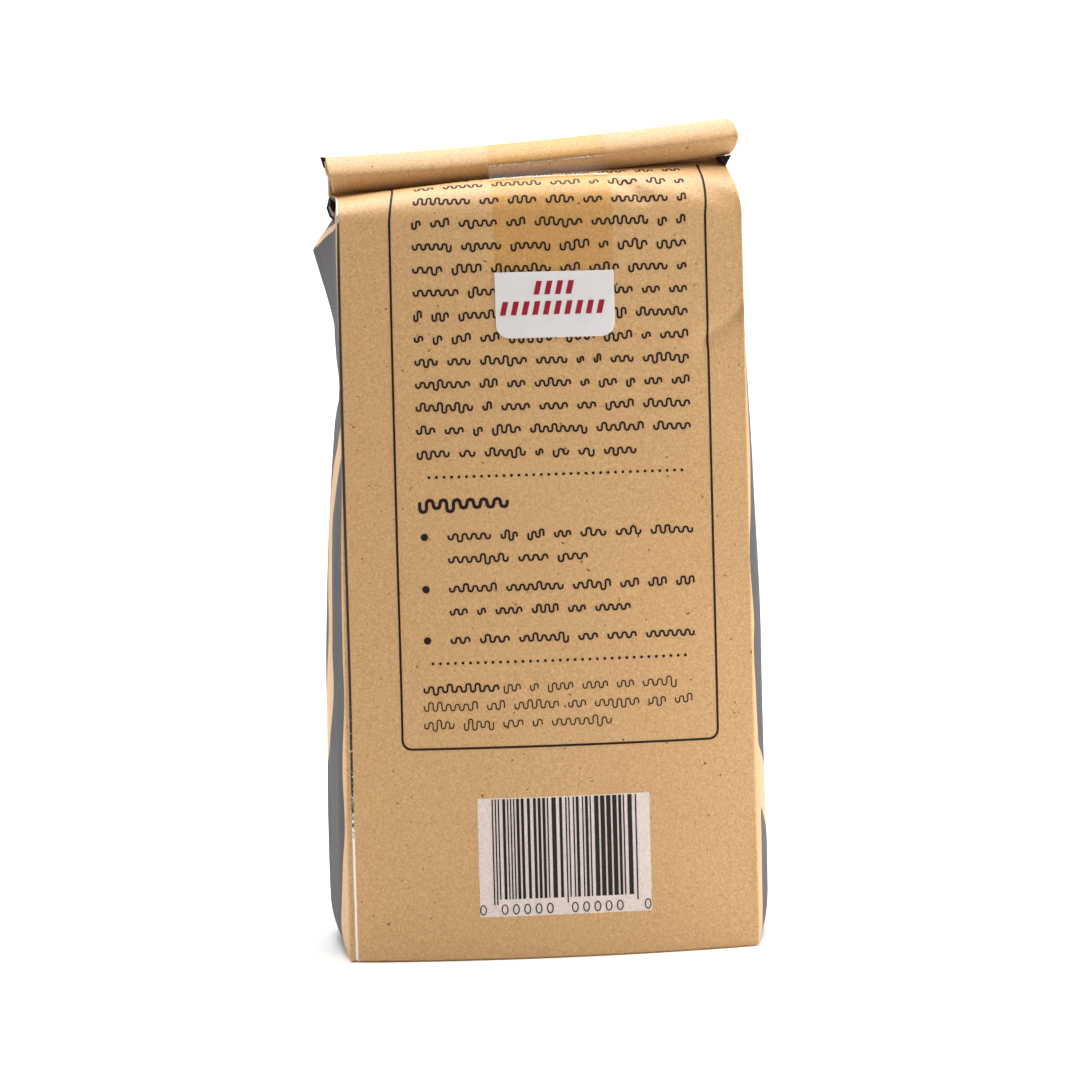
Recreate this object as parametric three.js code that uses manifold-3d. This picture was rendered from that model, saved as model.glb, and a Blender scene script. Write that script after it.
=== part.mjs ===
// A side-gusseted coffee bag of kraft and foil laminate, filled, shut and standing on its folded bottom.
// Its flattened top is rolled down towards the back panel, and a strip of resealable tape runs over the roll
// and sticks to the back panel below it.
// Millimetres, +Z up. The origin is the centre of the flat base. -Y is the back panel, whose left edge is the
// raw edge of the bag's long lap seam.

import * as THREE from "three";
import { mergeVertices } from "three/addons/utils/BufferGeometryUtils.js";
import Module from "manifold-3d";

const { lerp, degToRad } = THREE.MathUtils;

// The filled body
const PANEL_WIDTH = 87.2;
const BASE_DEPTH = 60;
const SHOULDER_DEPTH = 57;
const BACK_SHOULDER = 159; // where the back panel starts to bend over
const BACK_CREST = { left: 165, right: 166.5 }; // where its upright and its slope would meet in a sharp bend
const FRONT_SHOULDER = 146;
const FRONT_CREST = 160;
const FRONT_SHIFT = 2.6; // the front panel stands a little to the right of the back panel

// The roll
const ROLL_LEFT = -44.4;
const ROLL_RIGHT = 42.4;
const ROLL_CENTRE_Y = -17;
const ROLL_CENTRE_Z = 172.3; // at the middle of its width
const ROLL_TILT = degToRad(4.5); // its right end is the higher one
const ROLL_HALF_DEPTH = 3.9;
const ROLL_HALF_HEIGHT = 3.9;
const ROLL_SQUASH = 0.9; // the tape flattens the middle of the roll by this, above and below
const LEFT_END_SLANT = 0.8;
const RIGHT_END_POINT = 2; // the front of the roll's right end reaches this much further
const ROLL_TURNS = 2;
const ROLL_PITCH = 1.35;
const BAND = 0.9; // thickness of the flattened tube: two panels and the tucked gussets between them
const NECK_ANGLE = 50; // the straight rise behind the roll, written as degrees before the first turn
const END_GROOVE = 4; // depth of the groove between the panels at each end of the roll

// Gusset folds
const EAR_HEIGHT = 153.5; // the point where each gusset turns from bulging out to tucking in
const TUCK = 12; // how far in the tucked gusset reaches at the foot of the roll
const RIGHT_EDGE_DENT = 1.4; // the right corner of the shoulder is pushed in by this

// The lap seam's raw edge and the bottom
const LAP_THICKNESS = 0.5;
const FLOOR_RECESS = 0.9;
const FUSE_DEPTH = 0.4; // how far the bottom's folded seal reaches into the body, so that they are one solid
const BOTTOM_SEAL = { width: 82, depth: 14, y: 4 };

// The tape
const TAPE_WIDTH = 25.6;
const TAPE_THICKNESS = 0.3;
const TAPE_GAP = 0.3;
const TAPE_X = 2.6;
const TAPE_BACK_END = 133; // height of its tab's lower edge on the back panel
const TAPE_FRONT_END = 128;
const TAPE_CORNER = 3;

// Mesh steps
const PANEL_STEPS = 10;
const GUSSET_STEPS = 5; // for each half
const BODY_STEPS = 22;
const SHOULDER_STEPS = 9;
const NECK_STEPS = 2;
const STEPS_A_TURN = 16;
const OUTLINE_STEPS = 12; // points under the tape on each panel, and as many on each shoulder
const TAPE_STEPS = 64;
const TAPE_COLUMNS = 4;
const CLOSER_STEPS = 1.3; // a power that sets steps closer together at the base and at the tape's tab

// Stations are [height, value]: how far out the middle of each gusset stands, how far each panel crowns, and how
// far the folded edge reaches past the lap's raw edge.
const LEFT_GUSSET = [[0, 45.4], [4, 47.2], [10, 48.1], [50, 48], [86, 46.6], [121, 43], [134, 42.8], [153.5, 47.8]];
const RIGHT_GUSSET = [[0, 46.4], [4, 48.8], [12, 49.5], [36, 49.6], [90, 48.2], [140, 46], [153.5, 46.6]];
const BACK_CROWN = [[0, 3.2], [30, 4.2], [60, 4], [105, 2.6], [159, 1.4]];
const FRONT_CROWN = [[0, 3.4], [40, 6], [90, 5.5], [130, 3.4], [146, 2]];
const LAP_MARGIN = [[0, 1.3], [40, 0.8], [100, 0.4], [159, 0.2]];

// The value at a height, on a smooth curve through the stations.
function along(stations, height) {
  const last = stations.length - 1;
  let i = stations.findIndex(([at]) => at >= height);
  if (i <= 0) return stations[i === 0 ? 0 : last][1];
  const slope = (k) => {
    const [lowAt, low] = stations[Math.max(k - 1, 0)];
    const [highAt, high] = stations[Math.min(k + 1, last)];
    return (high - low) / (highAt - lowAt);
  };
  const [startAt, start] = stations[i - 1];
  const [endAt, end] = stations[i];
  const span = endAt - startAt;
  const t = (height - startAt) / span;
  const ease = t * t * (3 - 2 * t);
  const lead = t * (1 - t) * (1 - t) * span;
  const trail = t * t * (1 - t) * span;
  return lerp(start, end, ease) + slope(i - 1) * lead - slope(i) * trail;
}

// A point on the quadratic curve from start to end that is drawn towards pull.
function bend(start, pull, end, t) {
  const a = (1 - t) * (1 - t);
  const b = 2 * t * (1 - t);
  return start.clone().multiplyScalar(a).addScaledVector(pull, b).addScaledVector(end, t * t);
}

const vec = (x, y, z) => new THREE.Vector3(x, y, z);
const rollCentreZ = (x) => ROLL_CENTRE_Z + x * Math.tan(ROLL_TILT);
const smooth = (t) => t * t * (3 - 2 * t);

// A level is one loop round the bag: the four corners, the middle of each gusset, how far the panels crown and
// which way, how far the lap's folded edge shows, and the shares of the way from a corner to the middle where a
// gusset's curve is pulled.

// share runs from 0 at the base to 1 at the shoulders.
function bodyLevel(share) {
  const half = PANEL_WIDTH / 2;
  const backZ = share * BACK_SHOULDER;
  const frontZ = share * FRONT_SHOULDER;
  const middleZ = share * EAR_HEIGHT;
  const depth = lerp(BASE_DEPTH, SHOULDER_DEPTH, share) / 2;
  const crease = smooth(Math.max(0, (share - 0.8) / 0.2)); // the gusset folds sharper towards its ear
  return {
    backLeft: vec(-half, -depth, backZ),
    backRight: vec(half, -depth, backZ),
    frontLeft: vec(-half + FRONT_SHIFT, depth, frontZ),
    frontRight: vec(half + FRONT_SHIFT, depth, frontZ),
    middleLeft: vec(-along(LEFT_GUSSET, middleZ), 0, middleZ),
    middleRight: vec(along(RIGHT_GUSSET, middleZ), 0, middleZ),
    backCrown: vec(0, -along(BACK_CROWN, backZ), 0),
    frontCrown: vec(0, along(FRONT_CROWN, frontZ), 0),
    lapMargin: along(LAP_MARGIN, backZ),
    pull: vec(lerp(0.9, 0.5, crease), lerp(0.38, 0.5, crease), 0.5),
  };
}

// share runs from 0 at the shoulders to 1 at the foot of the roll, where both panels meet.
function shoulderLevel(share) {
  const start = bodyLevel(1);
  const end = rollLevel(-NECK_ANGLE);
  const corner = (name, pullY, pullZ) => {
    const pull = vec(lerp(start[name].x, end[name].x, 0.3), pullY, pullZ);
    return bend(start[name], pull, end[name], share);
  };
  const middle = (name) => {
    const reach = end[name].clone().sub(start[name]).multiply(vec(0.25, 0.35, 0.7));
    return bend(start[name], start[name].clone().add(reach), end[name], share);
  };
  const fade = 1 - smooth(share);
  const arch = Math.sin(Math.PI * share);
  const level = {
    backLeft: corner("backLeft", start.backLeft.y + 0.4, BACK_CREST.left),
    backRight: corner("backRight", start.backRight.y + 0.4, BACK_CREST.right),
    frontLeft: corner("frontLeft", start.frontLeft.y - 1.5, FRONT_CREST),
    frontRight: corner("frontRight", start.frontRight.y - 1.5, FRONT_CREST),
    middleLeft: middle("middleLeft"),
    middleRight: middle("middleRight"),
    backCrown: start.backCrown.clone().multiplyScalar(fade),
    frontCrown: start.frontCrown.clone().multiplyScalar(fade).add(vec(0, 0, 2.2 * arch)),
    lapMargin: start.lapMargin,
    pull: vec(lerp(0.8, 0.5, fade), lerp(0.25, 0.5, fade), lerp(0.3, 0.5, fade)),
  };
  level.backRight.x -= RIGHT_EDGE_DENT * Math.sin(Math.PI * share * share);
  return level;
}

// The flattened tube as it goes up behind the roll, for angles below 0, and then round it.
function rollLevel(angle) {
  const turned = degToRad(Math.max(angle, 0));
  const shrink = (ROLL_PITCH * Math.max(angle, 0)) / 360;
  const depth = ROLL_HALF_DEPTH - shrink;
  const height = ROLL_HALF_HEIGHT - shrink;
  const rise = (ROLL_HALF_HEIGHT * Math.min(angle, 0)) / NECK_ANGLE;
  const middle = vec(0, ROLL_CENTRE_Y + depth * Math.cos(turned), height * Math.sin(turned) + rise);
  const out = vec(0, Math.cos(turned) / depth, Math.sin(turned) / height).normalize();
  const groove = angle < 0 ? lerp(END_GROOVE, TUCK, -angle / NECK_ANGLE) : END_GROOVE;
  const at = (x, offset) => {
    const point = middle.clone().addScaledVector(out, offset);
    return point.setX(x).setZ(point.z + rollCentreZ(x));
  };
  const left = ROLL_LEFT - LEFT_END_SLANT * Math.sin(turned);
  const right = ROLL_RIGHT + RIGHT_END_POINT * Math.max(0, -Math.cos(turned));
  const squash = (-ROLL_SQUASH * Math.sin(turned) * height) / ROLL_HALF_HEIGHT;
  return {
    backLeft: at(left, -BAND / 2),
    backRight: at(right, -BAND / 2),
    frontLeft: at(left, BAND / 2),
    frontRight: at(right, BAND / 2),
    middleLeft: at(left + groove, 0),
    middleRight: at(right - groove, 0),
    backCrown: vec(0, 0, squash),
    frontCrown: vec(0, 0, squash),
    lapMargin: along(LAP_MARGIN, BACK_SHOULDER),
    pull: vec(0.5, 0.5, 0.5),
  };
}

// All levels from the base to the inner end of the roll.
function bagLevels() {
  const levels = [];
  for (let i = 1; i <= BODY_STEPS; i++) levels.push(bodyLevel(Math.pow(i / BODY_STEPS, CLOSER_STEPS)));
  for (let i = 1; i <= SHOULDER_STEPS; i++) levels.push(shoulderLevel(i / SHOULDER_STEPS));
  for (let i = 1; i <= NECK_STEPS; i++) levels.push(rollLevel(-NECK_ANGLE * (1 - i / NECK_STEPS)));
  const rolled = Math.round(ROLL_TURNS * STEPS_A_TURN);
  for (let i = 1; i <= rolled; i++) levels.push(rollLevel((360 * i) / STEPS_A_TURN));
  return levels;
}

// A point on a panel, side "back" or "front", at a share of its width from the left.
function panelPoint(level, side, share) {
  const point = level[side + "Left"].clone().lerp(level[side + "Right"], share);
  return point.addScaledVector(level[side + "Crown"], 4 * share * (1 - share));
}

// Half a gusset as points from a corner to the middle, without its last one.
function halfGusset(corner, middle, pull) {
  const reach = middle.clone().sub(corner).multiply(pull).add(corner);
  return Array.from({ length: GUSSET_STEPS }, (_, i) => bend(corner, reach, middle, i / GUSSET_STEPS));
}

// The loop of points round one level, anticlockwise from above, starting at the back panel's left corner.
function ringOf(level) {
  const shares = Array.from({ length: PANEL_STEPS }, (_, i) => i / PANEL_STEPS);
  const through = level.frontLeft.clone().sub(level.backLeft).setX(0);
  const lap = through.clone().setLength(Math.min(LAP_THICKNESS, 0.2 * through.length()));
  const underLap = level.backLeft.clone().add(lap);
  const fold = underLap.clone().add(vec(-level.lapMargin, 0, 0));
  return [
    ...shares.map((share) => panelPoint(level, "back", share)),
    ...halfGusset(level.backRight, level.middleRight, level.pull),
    level.middleRight,
    ...halfGusset(level.frontRight, level.middleRight, level.pull).reverse(),
    ...shares.slice(0, -1).map((share) => panelPoint(level, "front", 1 - share - 1 / PANEL_STEPS)),
    ...halfGusset(level.frontLeft, level.middleLeft, level.pull),
    level.middleLeft,
    ...halfGusset(fold, level.middleLeft, level.pull).reverse(),
    underLap,
  ];
}

// The bottom's loops: a flat rim to stand on round a shallow recess, from the middle outwards.
function bottomRings() {
  const outline = ringOf(bodyLevel(0));
  const steps = [[0.5, FLOOR_RECESS], [0.86, FLOOR_RECESS], [0.89, 0], [0.985, 0], [1, 1.2]];
  return steps.map(([share, z]) => outline.map((p) => vec(p.x * share, p.y * share, z)));
}

// A closed solid through loops of equal length, with a fan over its first and last loop.
function loftSolid(rings) {
  const count = rings[0].length;
  const points = rings.flat();
  const faces = [];
  const distance = (a, b) => points[a].distanceToSquared(points[b]);
  for (let level = 0; level + 1 < rings.length; level++) {
    for (let i = 0; i < count; i++) {
      const a = level * count + i;
      const b = level * count + ((i + 1) % count);
      const c = b + count;
      const d = a + count;
      if (distance(a, c) < distance(b, d)) faces.push(a, b, c, a, c, d);
      else faces.push(a, b, d, b, c, d);
    }
  }
  const fan = (ring, start, isLast) => {
    const hub = points.length;
    points.push(ring.reduce((sum, p) => sum.add(p), vec(0, 0, 0)).divideScalar(count));
    for (let i = 0; i < count; i++) {
      const pair = [start + i, start + ((i + 1) % count)];
      faces.push(hub, ...(isLast ? pair : pair.reverse()));
    }
  };
  fan(rings[0], 0, false);
  fan(rings.at(-1), (rings.length - 1) * count, true);
  return new THREE.BufferGeometry().setFromPoints(points).setIndex(faces);
}

// The bag's outer line at one place across its width, as points (y, z) from the back panel over the roll to the
// front panel.
function outerLine(x) {
  const line = [];
  const add = (level, side) => {
    const left = level[side + "Left"].x;
    const point = panelPoint(level, side, (x - left) / (level[side + "Right"].x - left));
    line.push(new THREE.Vector2(point.y, point.z));
  };
  const bodyAndShoulder = (side, lowest, top) => {
    for (let i = 0; i <= OUTLINE_STEPS; i++) add(bodyLevel(lerp(lowest / top, 1, i / OUTLINE_STEPS)), side);
    for (let i = 1; i < OUTLINE_STEPS; i++) add(shoulderLevel(i / OUTLINE_STEPS), side);
  };
  bodyAndShoulder("back", TAPE_BACK_END, BACK_SHOULDER);
  for (let i = 0; i < 2 * STEPS_A_TURN; i++) add(rollLevel((180 * i) / STEPS_A_TURN), "front");
  bodyAndShoulder("front", TAPE_FRONT_END, FRONT_SHOULDER);
  return line;
}

// The line that a taut tape takes over those points, from its end on the back panel to its end on the front.
function tautLine(points) {
  const turn = (a, b, c) => b.clone().sub(a).cross(c.clone().sub(a));
  const upper = [];
  for (const p of [...points].sort((a, b) => a.x - b.x || a.y - b.y)) {
    while (upper.length > 1 && turn(upper.at(-2), upper.at(-1), p) >= 0) upper.pop();
    upper.push(p);
  }
  const back = points.filter((p) => p.y < upper[0].y && p.x < 0).sort((a, b) => a.y - b.y);
  const front = points.filter((p) => p.y < upper.at(-1).y && p.x > 0).sort((a, b) => b.y - a.y);
  return [...back, ...upper, ...front];
}

// A curve through a line's points, measured by length.
function curveThrough(line) {
  const curve = new THREE.CurvePath();
  line.slice(1).forEach((p, i) => curve.add(new THREE.LineCurve(line[i], p)));
  return curve;
}

// A point off a curve, on its outer side.
function pointOff(curve, share, offset) {
  const apart = 0.5 / TAPE_STEPS;
  const before = curve.getPointAt(Math.max(0, share - apart));
  const ahead = curve.getPointAt(Math.min(1, share + apart)).sub(before).normalize();
  return curve.getPointAt(share).add(new THREE.Vector2(-ahead.y, ahead.x).multiplyScalar(offset));
}

function tapeGeometry() {
  const columns = Array.from({ length: TAPE_COLUMNS + 1 }, (_, i) => (2 * i) / TAPE_COLUMNS - 1);
  const curves = columns.map((column) => curveThrough(tautLine(outerLine(TAPE_X + (column * TAPE_WIDTH) / 2))));
  const length = curves[TAPE_COLUMNS / 2].getLength();
  const rings = [];
  for (let step = 0; step <= TAPE_STEPS; step++) {
    const share = Math.pow(step / TAPE_STEPS, CLOSER_STEPS);
    const intoCorner = Math.max(0, TAPE_CORNER - length * share);
    const inset = TAPE_CORNER - Math.sqrt(TAPE_CORNER ** 2 - intoCorner ** 2);
    const row = (offset) =>
      columns.map((column, i) => {
        const point = pointOff(curves[i], share, offset);
        return vec(TAPE_X + column * (TAPE_WIDTH / 2 - inset), point.x, point.y);
      });
    rings.push([...row(TAPE_GAP + TAPE_THICKNESS), ...row(TAPE_GAP).reverse()]);
  }
  return loftSolid(rings);
}

const wasm = await Module();
wasm.setup();

function toManifold(geometry) {
  const bare = geometry.clone();
  bare.deleteAttribute("normal");
  bare.deleteAttribute("uv");
  const merged = mergeVertices(bare, 1e-4);
  return new wasm.Manifold(
    new wasm.Mesh({
      numProp: 3,
      vertProperties: merged.attributes.position.array,
      triVerts: new Uint32Array(merged.index.array),
    }),
  );
}

function fromManifold(solid) {
  const mesh = solid.getMesh();
  const geometry = new THREE.BufferGeometry();
  geometry.setAttribute("position", new THREE.BufferAttribute(new Float32Array(mesh.vertProperties), 3));
  geometry.setIndex(new THREE.BufferAttribute(new Uint32Array(mesh.triVerts), 1));
  return geometry;
}

// The bag is one folded sheet, so its body, shoulders and roll are one solid. The folded seal lies across the
// recess in its bottom.
function bagGeometry() {
  const body = loftSolid([...bottomRings(), ...bagLevels().map(ringOf)]);
  const { width, depth, y } = BOTTOM_SEAL;
  const thickness = FLOOR_RECESS + FUSE_DEPTH;
  const seal = new THREE.BoxGeometry(width, depth, thickness);
  seal.translate(0, y, thickness / 2);
  return fromManifold(toManifold(body).add(toManifold(seal)));
}

function namedMesh(name, geometry, colour, roughness) {
  geometry.computeVertexNormals();
  const material = new THREE.MeshStandardMaterial({ color: colour, roughness, metalness: 0 });
  const mesh = new THREE.Mesh(geometry, material);
  mesh.name = name;
  return mesh;
}

const coffeeBag = new THREE.Group();
coffeeBag.add(namedMesh("bag", bagGeometry(), 0xc49a68, 0.7));
coffeeBag.add(namedMesh("resealable_tape", tapeGeometry(), 0xd9cdb8, 0.25));

export default coffeeBag;
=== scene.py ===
"""A side-gusseted coffee bag of kraft and foil laminate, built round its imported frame, with its studio.

The bag is one folded sheet, filled and shut. Its flattened top is rolled down towards the back panel and
held by a strip of resealable tape. Sizes in this file are millimetres unless a comment says otherwise, and MM
turns them into Blender's metres. +Z is up, -Y is out of the back panel, and +X is to the right as that panel
is read.
"""

import math
import random

import bpy
import numpy as np
from bpy.props import FloatProperty, FloatVectorProperty, IntProperty, PointerProperty
from mathutils import Matrix, Vector, noise


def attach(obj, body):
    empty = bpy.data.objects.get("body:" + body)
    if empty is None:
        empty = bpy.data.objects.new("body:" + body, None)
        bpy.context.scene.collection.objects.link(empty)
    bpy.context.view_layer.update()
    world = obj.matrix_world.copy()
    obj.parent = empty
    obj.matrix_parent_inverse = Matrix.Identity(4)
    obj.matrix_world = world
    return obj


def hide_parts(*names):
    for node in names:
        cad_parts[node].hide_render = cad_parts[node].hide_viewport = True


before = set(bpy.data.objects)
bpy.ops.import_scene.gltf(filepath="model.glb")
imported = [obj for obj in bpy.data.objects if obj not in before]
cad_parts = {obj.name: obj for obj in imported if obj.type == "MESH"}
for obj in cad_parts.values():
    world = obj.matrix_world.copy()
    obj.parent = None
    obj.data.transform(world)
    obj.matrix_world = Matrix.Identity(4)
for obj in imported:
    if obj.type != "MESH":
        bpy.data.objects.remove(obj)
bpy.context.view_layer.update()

bl_info = {
    "name": "Kraft coffee bag",
    "version": (1, 0, 0),
    "blender": (4, 5, 0),
    "location": "View3D > Sidebar > Coffee bag",
    "description": "Builds a side-gusseted coffee bag with its print, its resealable tape and a studio",
    "category": "Add Mesh",
}

MM = 0.001

# The filled body
BACK_CREST = {"Left": 165.0, "Right": 167.3}  # where the upright and the slope would meet in a sharp bend
BEND_TIGHTNESS = {"Left": 0.62, "Right": 0.66}
SOFT_BEND = 2 / 3  # the tightness that makes a plain quadratic curve
FRONT_CREST = 160.0
BACK_RISE = 2.1  # how much higher the back shoulder is in its middle than at its ends
FRONT_SHIFT = 2.6  # the front panel stands a little to the right of the back panel
EAR_HEIGHT = 153.5  # where each gusset turns from bulging out to tucking in
TUCK = 12.0  # how far in the tucked gusset reaches at the foot of the roll
EDGE_DENT = {"Left": 0.8, "Right": 1.0}  # how far each back edge turns in beside the roll
GUSSET_DIP = 2.0  # how far the tucked gussets hang below the panels beside the roll

# The roll
ROLL_LEFT = -44.4
ROLL_RIGHT = 42.4
ROLL_CENTRE_Y = -17.0
ROLL_SAG = 0.8  # the tape pulls the middle of the roll down by this
LEFT_END_SLANT = 0.8
RIGHT_END_POINT = 2.0
ROLL_TURNS = 2
ROLL_PITCH = 1.35
BAND = 0.9  # thickness of the flattened tube
NECK_ANGLE = 50
END_GROOVE = 4.0
ROLL_CREASE = {"Left": 1.55, "Right": 1.55}  # above 1 the roll has a pressed edge

# The lap seam's raw edge and the bottom
LAP_THICKNESS = 0.5
RAW_EDGE_WIDTH = ((0, 0.45), (30, 0.5), (60, 0.56), (150, 0.56), (159, 0.4))
FLOOR_RECESS = 0.9

# Mesh steps
PANEL_STEPS = 76
GUSSET_STEPS = 20
MARGIN_STEPS = 2
EDGE_STEPS = 2
BODY_STEPS = 120
SHOULDER_STEPS = 34
NECK_STEPS = 6
STEPS_A_TURN = 48
CROWDING = 0.7  # how much closer together the points stand beside a fold than in the middle of a panel
CLOSER_STEPS = 1.15
BAND_STEPS = 6

# Stations are (height, value), as in the part's own source
LEFT_GUSSET = (
    (0, 45.4), (4, 47.2), (10, 48.1), (50, 48), (86, 46.6), (104, 45.3), (113, 44.55), (118, 44), (122, 43.1),
    (126, 43.15), (130, 43.6), (134, 43.8), (138, 43.9), (153.5, 47.8),
)
RIGHT_GUSSET = ((0, 46.4), (4, 48.8), (12, 49.5), (36, 49.6), (90, 48.2), (140, 46), (153.5, 46.6))
BACK_CROWN = ((0, 4.2), (30, 4.2), (60, 3.9), (105, 2.6), (159, 1.4))
FRONT_CROWN = ((0, 3.4), (40, 6), (90, 5.5), (130, 3.4), (146, 2))
LEFT_EDGE_SHIFT = ((0, 0.05), (35, 0.1), (60, 0.3), (90, 0.3), (135, 0.5), (159, 0.7))
LAP_MARGIN = ((0, 1.3), (40, 0.8), (80, 0.5), (108, 0.1), (159, 0.1))

# The printed fields on the gussets: their plain margins beside the folds of the back panel, and the centre
# line of a plain wave through them, as (distance round the bag from the left fold, height, half width)
LEFT_INK_MARGIN = (
    (0, 10), (5, 9), (12, 6.5), (21, 4.4), (29, 2.2), (42, 3.2), (57, 1.1), (66, 1.6), (90, 1.4), (106, 0.1),
    (135, 0.2), (142, 1.5), (157, 1.5), (170, 0.6),
)
RIGHT_INK_MARGIN = (
    (0, 6), (20, 4.6), (31, 4.2), (44, 4.4), (54, 3.2), (65, 1.6), (71, 2.6), (82, 0.2), (88, 0.2), (97, 2.6),
    (112, 4.6), (170, 1),
)
WAVE = (
    (-6, 117, 2), (4, 110, 3), (14, 104, 4.6), (21, 96, 5.6), (18.4, 84, 5), (15.9, 74, 3), (16.2, 66, 2.9),
    (18, 58, 5.2), (24, 50, 5.5), (34, 42, 5), (50, 37, 6), (68, 40, 8), (86, 50, 9), (104, 58, 8),
    (122, 56, 6.5), (138, 45, 6), (156, 33, 5), (172, 25, 5), (188, 27, 5.2), (200, 34, 5.6), (208, 39, 5.8),
    (216, 42, 6),
)
EAR_STRIPE = ((0, 158.4, 0.5), (14, 157.2, 0.8), (26, 154.9, 0.9))
FRONT_INK_TOP = 112.0
INK_LIMIT = 2.0  # the distance to the print's border is kept up to this

# How far to the right the print lies over the shoulder, as (height along the sheet, shift)
PRINT_DRIFT = ((159, 0), (166, 1.1), (172, 1.6), (180, 1.6))

# How silvery the raw edge is at each height: foil with a painted glint near its ends, and black between
# them with ink and painted shade
FOIL_AND_GLINT = ((0, 0.6), (24, 0.6), (31, 0.32), (40, 0.2), (52, 0.1), (64, 0.0), (157, 0.0), (162, 0.7))

# Creases in the back panel: from (across, up) to (across, up), with their width and depth
CREASES = (
    ((18.0, 167.5), (22.5, 162.5), 1.4, 0.8),
    ((34.5, 131.5), (44.5, 138.5), 1.6, 0.75),
    ((30.0, 168.0), (43.0, 161.0), 2.4, 0.3),
    ((-30.0, 120.0), (-42.0, 127.0), 2.6, 0.16),
    ((8.0, 36.0), (38.0, 20.0), 5.0, 0.2),
    ((-40.0, 12.0), (-16.0, 4.0), 4.0, 0.2),
)

# The body's finer form
CREASING = 0.8  # from this share of the body's height its round gussets turn into creased ones
ROUND_PULL = (0.9, 0.38, 0.5)  # how far a half gusset bends towards its middle, as shares across, out and up
STRAIGHT_PULL = (0.5, 0.5, 0.5)
SHOULDER_PULL = (0.8, 0.25, 0.3)
BEND_DRIFT = 0.3  # the share of a corner's way across that is behind it at its bend
BACK_BEND_IN = 0.4  # how far in from its panel each corner's bend is pulled
FRONT_BEND_IN = 1.5
FRONT_RISE = 2.2  # how much higher the front shoulder is in its middle than at its ends
MIDDLE_REACH = (0.25, 0.35, 0.7)  # where a gusset's middle line bends, as shares of its way to the roll
DIP_POWER = 5  # the gussets dip late, near the roll
NARROWED_EDGE = 0.4  # the share of the raw edge's width that is left at the roll
ROLLED_EDGE = 0.1
LAP_SHARE = 0.2  # the lap is never thicker than this share of the space between the panels
# The bottom's rings, as (share of the base, height)
BOTTOM_RINGS = ((0.5, FLOOR_RECESS), (0.86, FLOOR_RECESS), (0.89, 0.0), (0.985, 0.0))

# The filled sheet's swells and crumples: their lengths and heights, and where they fade out
SWELL_LENGTH = 26
BACK_SWELL = 0.22
FRONT_SWELL = 0.4
GUSSET_SWELL = 0.35
CRUMPLE_LENGTH = 9
UPRIGHT_LENGTH = 34  # the gussets' crumples are long ones that stand upright
FRONT_CRUMPLE = 0.12
GUSSET_CRUMPLE = 0.4
CALM_UNDER_ROLL = 12  # levels
CALM_OVER_BASE = 6  # levels
CALM_BESIDE_FOLD = 5  # steps round the loop
BACK_FOLD_SHARE = 0.3  # the back panel keeps this share of its swells at its folds

# The end of the left gusset's fold, which shows under the roll: lines of points (across, up) from the back
# panel's edge outward, each with its depth. The lip lies round the plies, which are dark, pale and dark.
FOLD_MOUTH = ((-44.8, 164.3), (-45.35, 162.2), (-44.7, 160.3), (-43.3, 159.0))
# the dark faces are painted shade of the fold's hollow over black ink
LEFT_LIP = (
    (-13.5, ((-44.2, 164.8), (-44.3, 164.5), (-44.1, 164.2), (-43.7, 164.0))),
    (-18.0, ((-44.5, 164.5), (-44.9, 163.2), (-44.5, 162.2), (-43.6, 161.4))),
    (-22.9, FOLD_MOUTH),
)
LEFT_PLIES = (
    (-20.5, ((-43.3, 163.4), (-43.3, 162.9), (-43.3, 162.2), (-43.3, 161.2))),
    (-21.5, ((-44.6, 164.2), (-44.8, 162.8), (-44.3, 161.6), (-43.3, 160.6))),
    (-22.8, ((-44.7, 164.3), (-45.1, 162.2), (-44.5, 160.6), (-43.3, 159.5))),
    (-23.0, FOLD_MOUTH),
)
PALE_PLY = 1  # the row of faces between the plies' lines that is pale
# Outlines (across, up) of the right gusset's end and of the notch in the roll's end, with front and back
# both are dark with painted shade over black ink
RIGHT_FOLD = (((40.6, 171.3), (42.8, 171.6), (41.5, 169.4), (40.7, 170.4)), -19.0, -13.2)
ROLL_NOTCH = (((-46.0, 173.2), (-44.6, 173.0), (-44.6, 171.2), (-45.35, 171.2)), -17.2, -16.8)

# The back panel's print, by places across the panel from its middle and heights up the sheet
PRINT_LIFT = 0.05
PRINT_THICKNESS = 0.06
FRAME_LEFT, FRAME_RIGHT = -32.9, 35.5
FRAME_LOW, FRAME_HIGH = 45.95, 176.0
FRAME_RADIUS = 2.0
FRAME_STROKE = 0.48
CORNER_STEPS = 6
DOTTED_RULES = ((-25.7, 29.0, 104.2), (-26.0, 28.7, 64.3))  # each rule's two ends and its height
RULE_DOTS = 35
DOT_RADIUS, DOT_SIDES = 0.33, 10
TEXT_ROWS = 14
LOWEST_ROW = 108.2
LOWEST_ROW_GAP = 12.0  # how far short of the block's right side that row ends
ROW_TILT = -0.0085
WORD_HEIGHT = 1.6
HEADING_WIDTH, HEADING_BASE = 19.5, 97.2
HEADING_HEIGHT, HEADING_STROKE, HEADING_PITCH = 2.5, 0.72, 1.5
# Each bullet's first row, and how far short of the block's right side its rows end
BULLETS = ((90.6, (0, 23.2)), (79.4, (0, 14.2)), (68.4, (0.3,)))
BULLET_X, BULLET_RISE = -27.0, 0.85
BULLET_RADIUS, BULLET_SIDES = 0.8, 18
BULLET_INDENT = -22.1
# Each small row's base and its gaps at the left and right
SMALL_ROWS = ((57.9, 17.2, 4.6), (54.0, 0, 1.2), (50.2, 0, 19.0))
SMALL_HEIGHT, SMALL_STROKE = 1.65, 0.26
LEAD_WIDTH, LEAD_STROKE, LEAD_PITCH = 16.3, 0.42, 1.0  # the bold word before the first of the small rows

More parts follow.
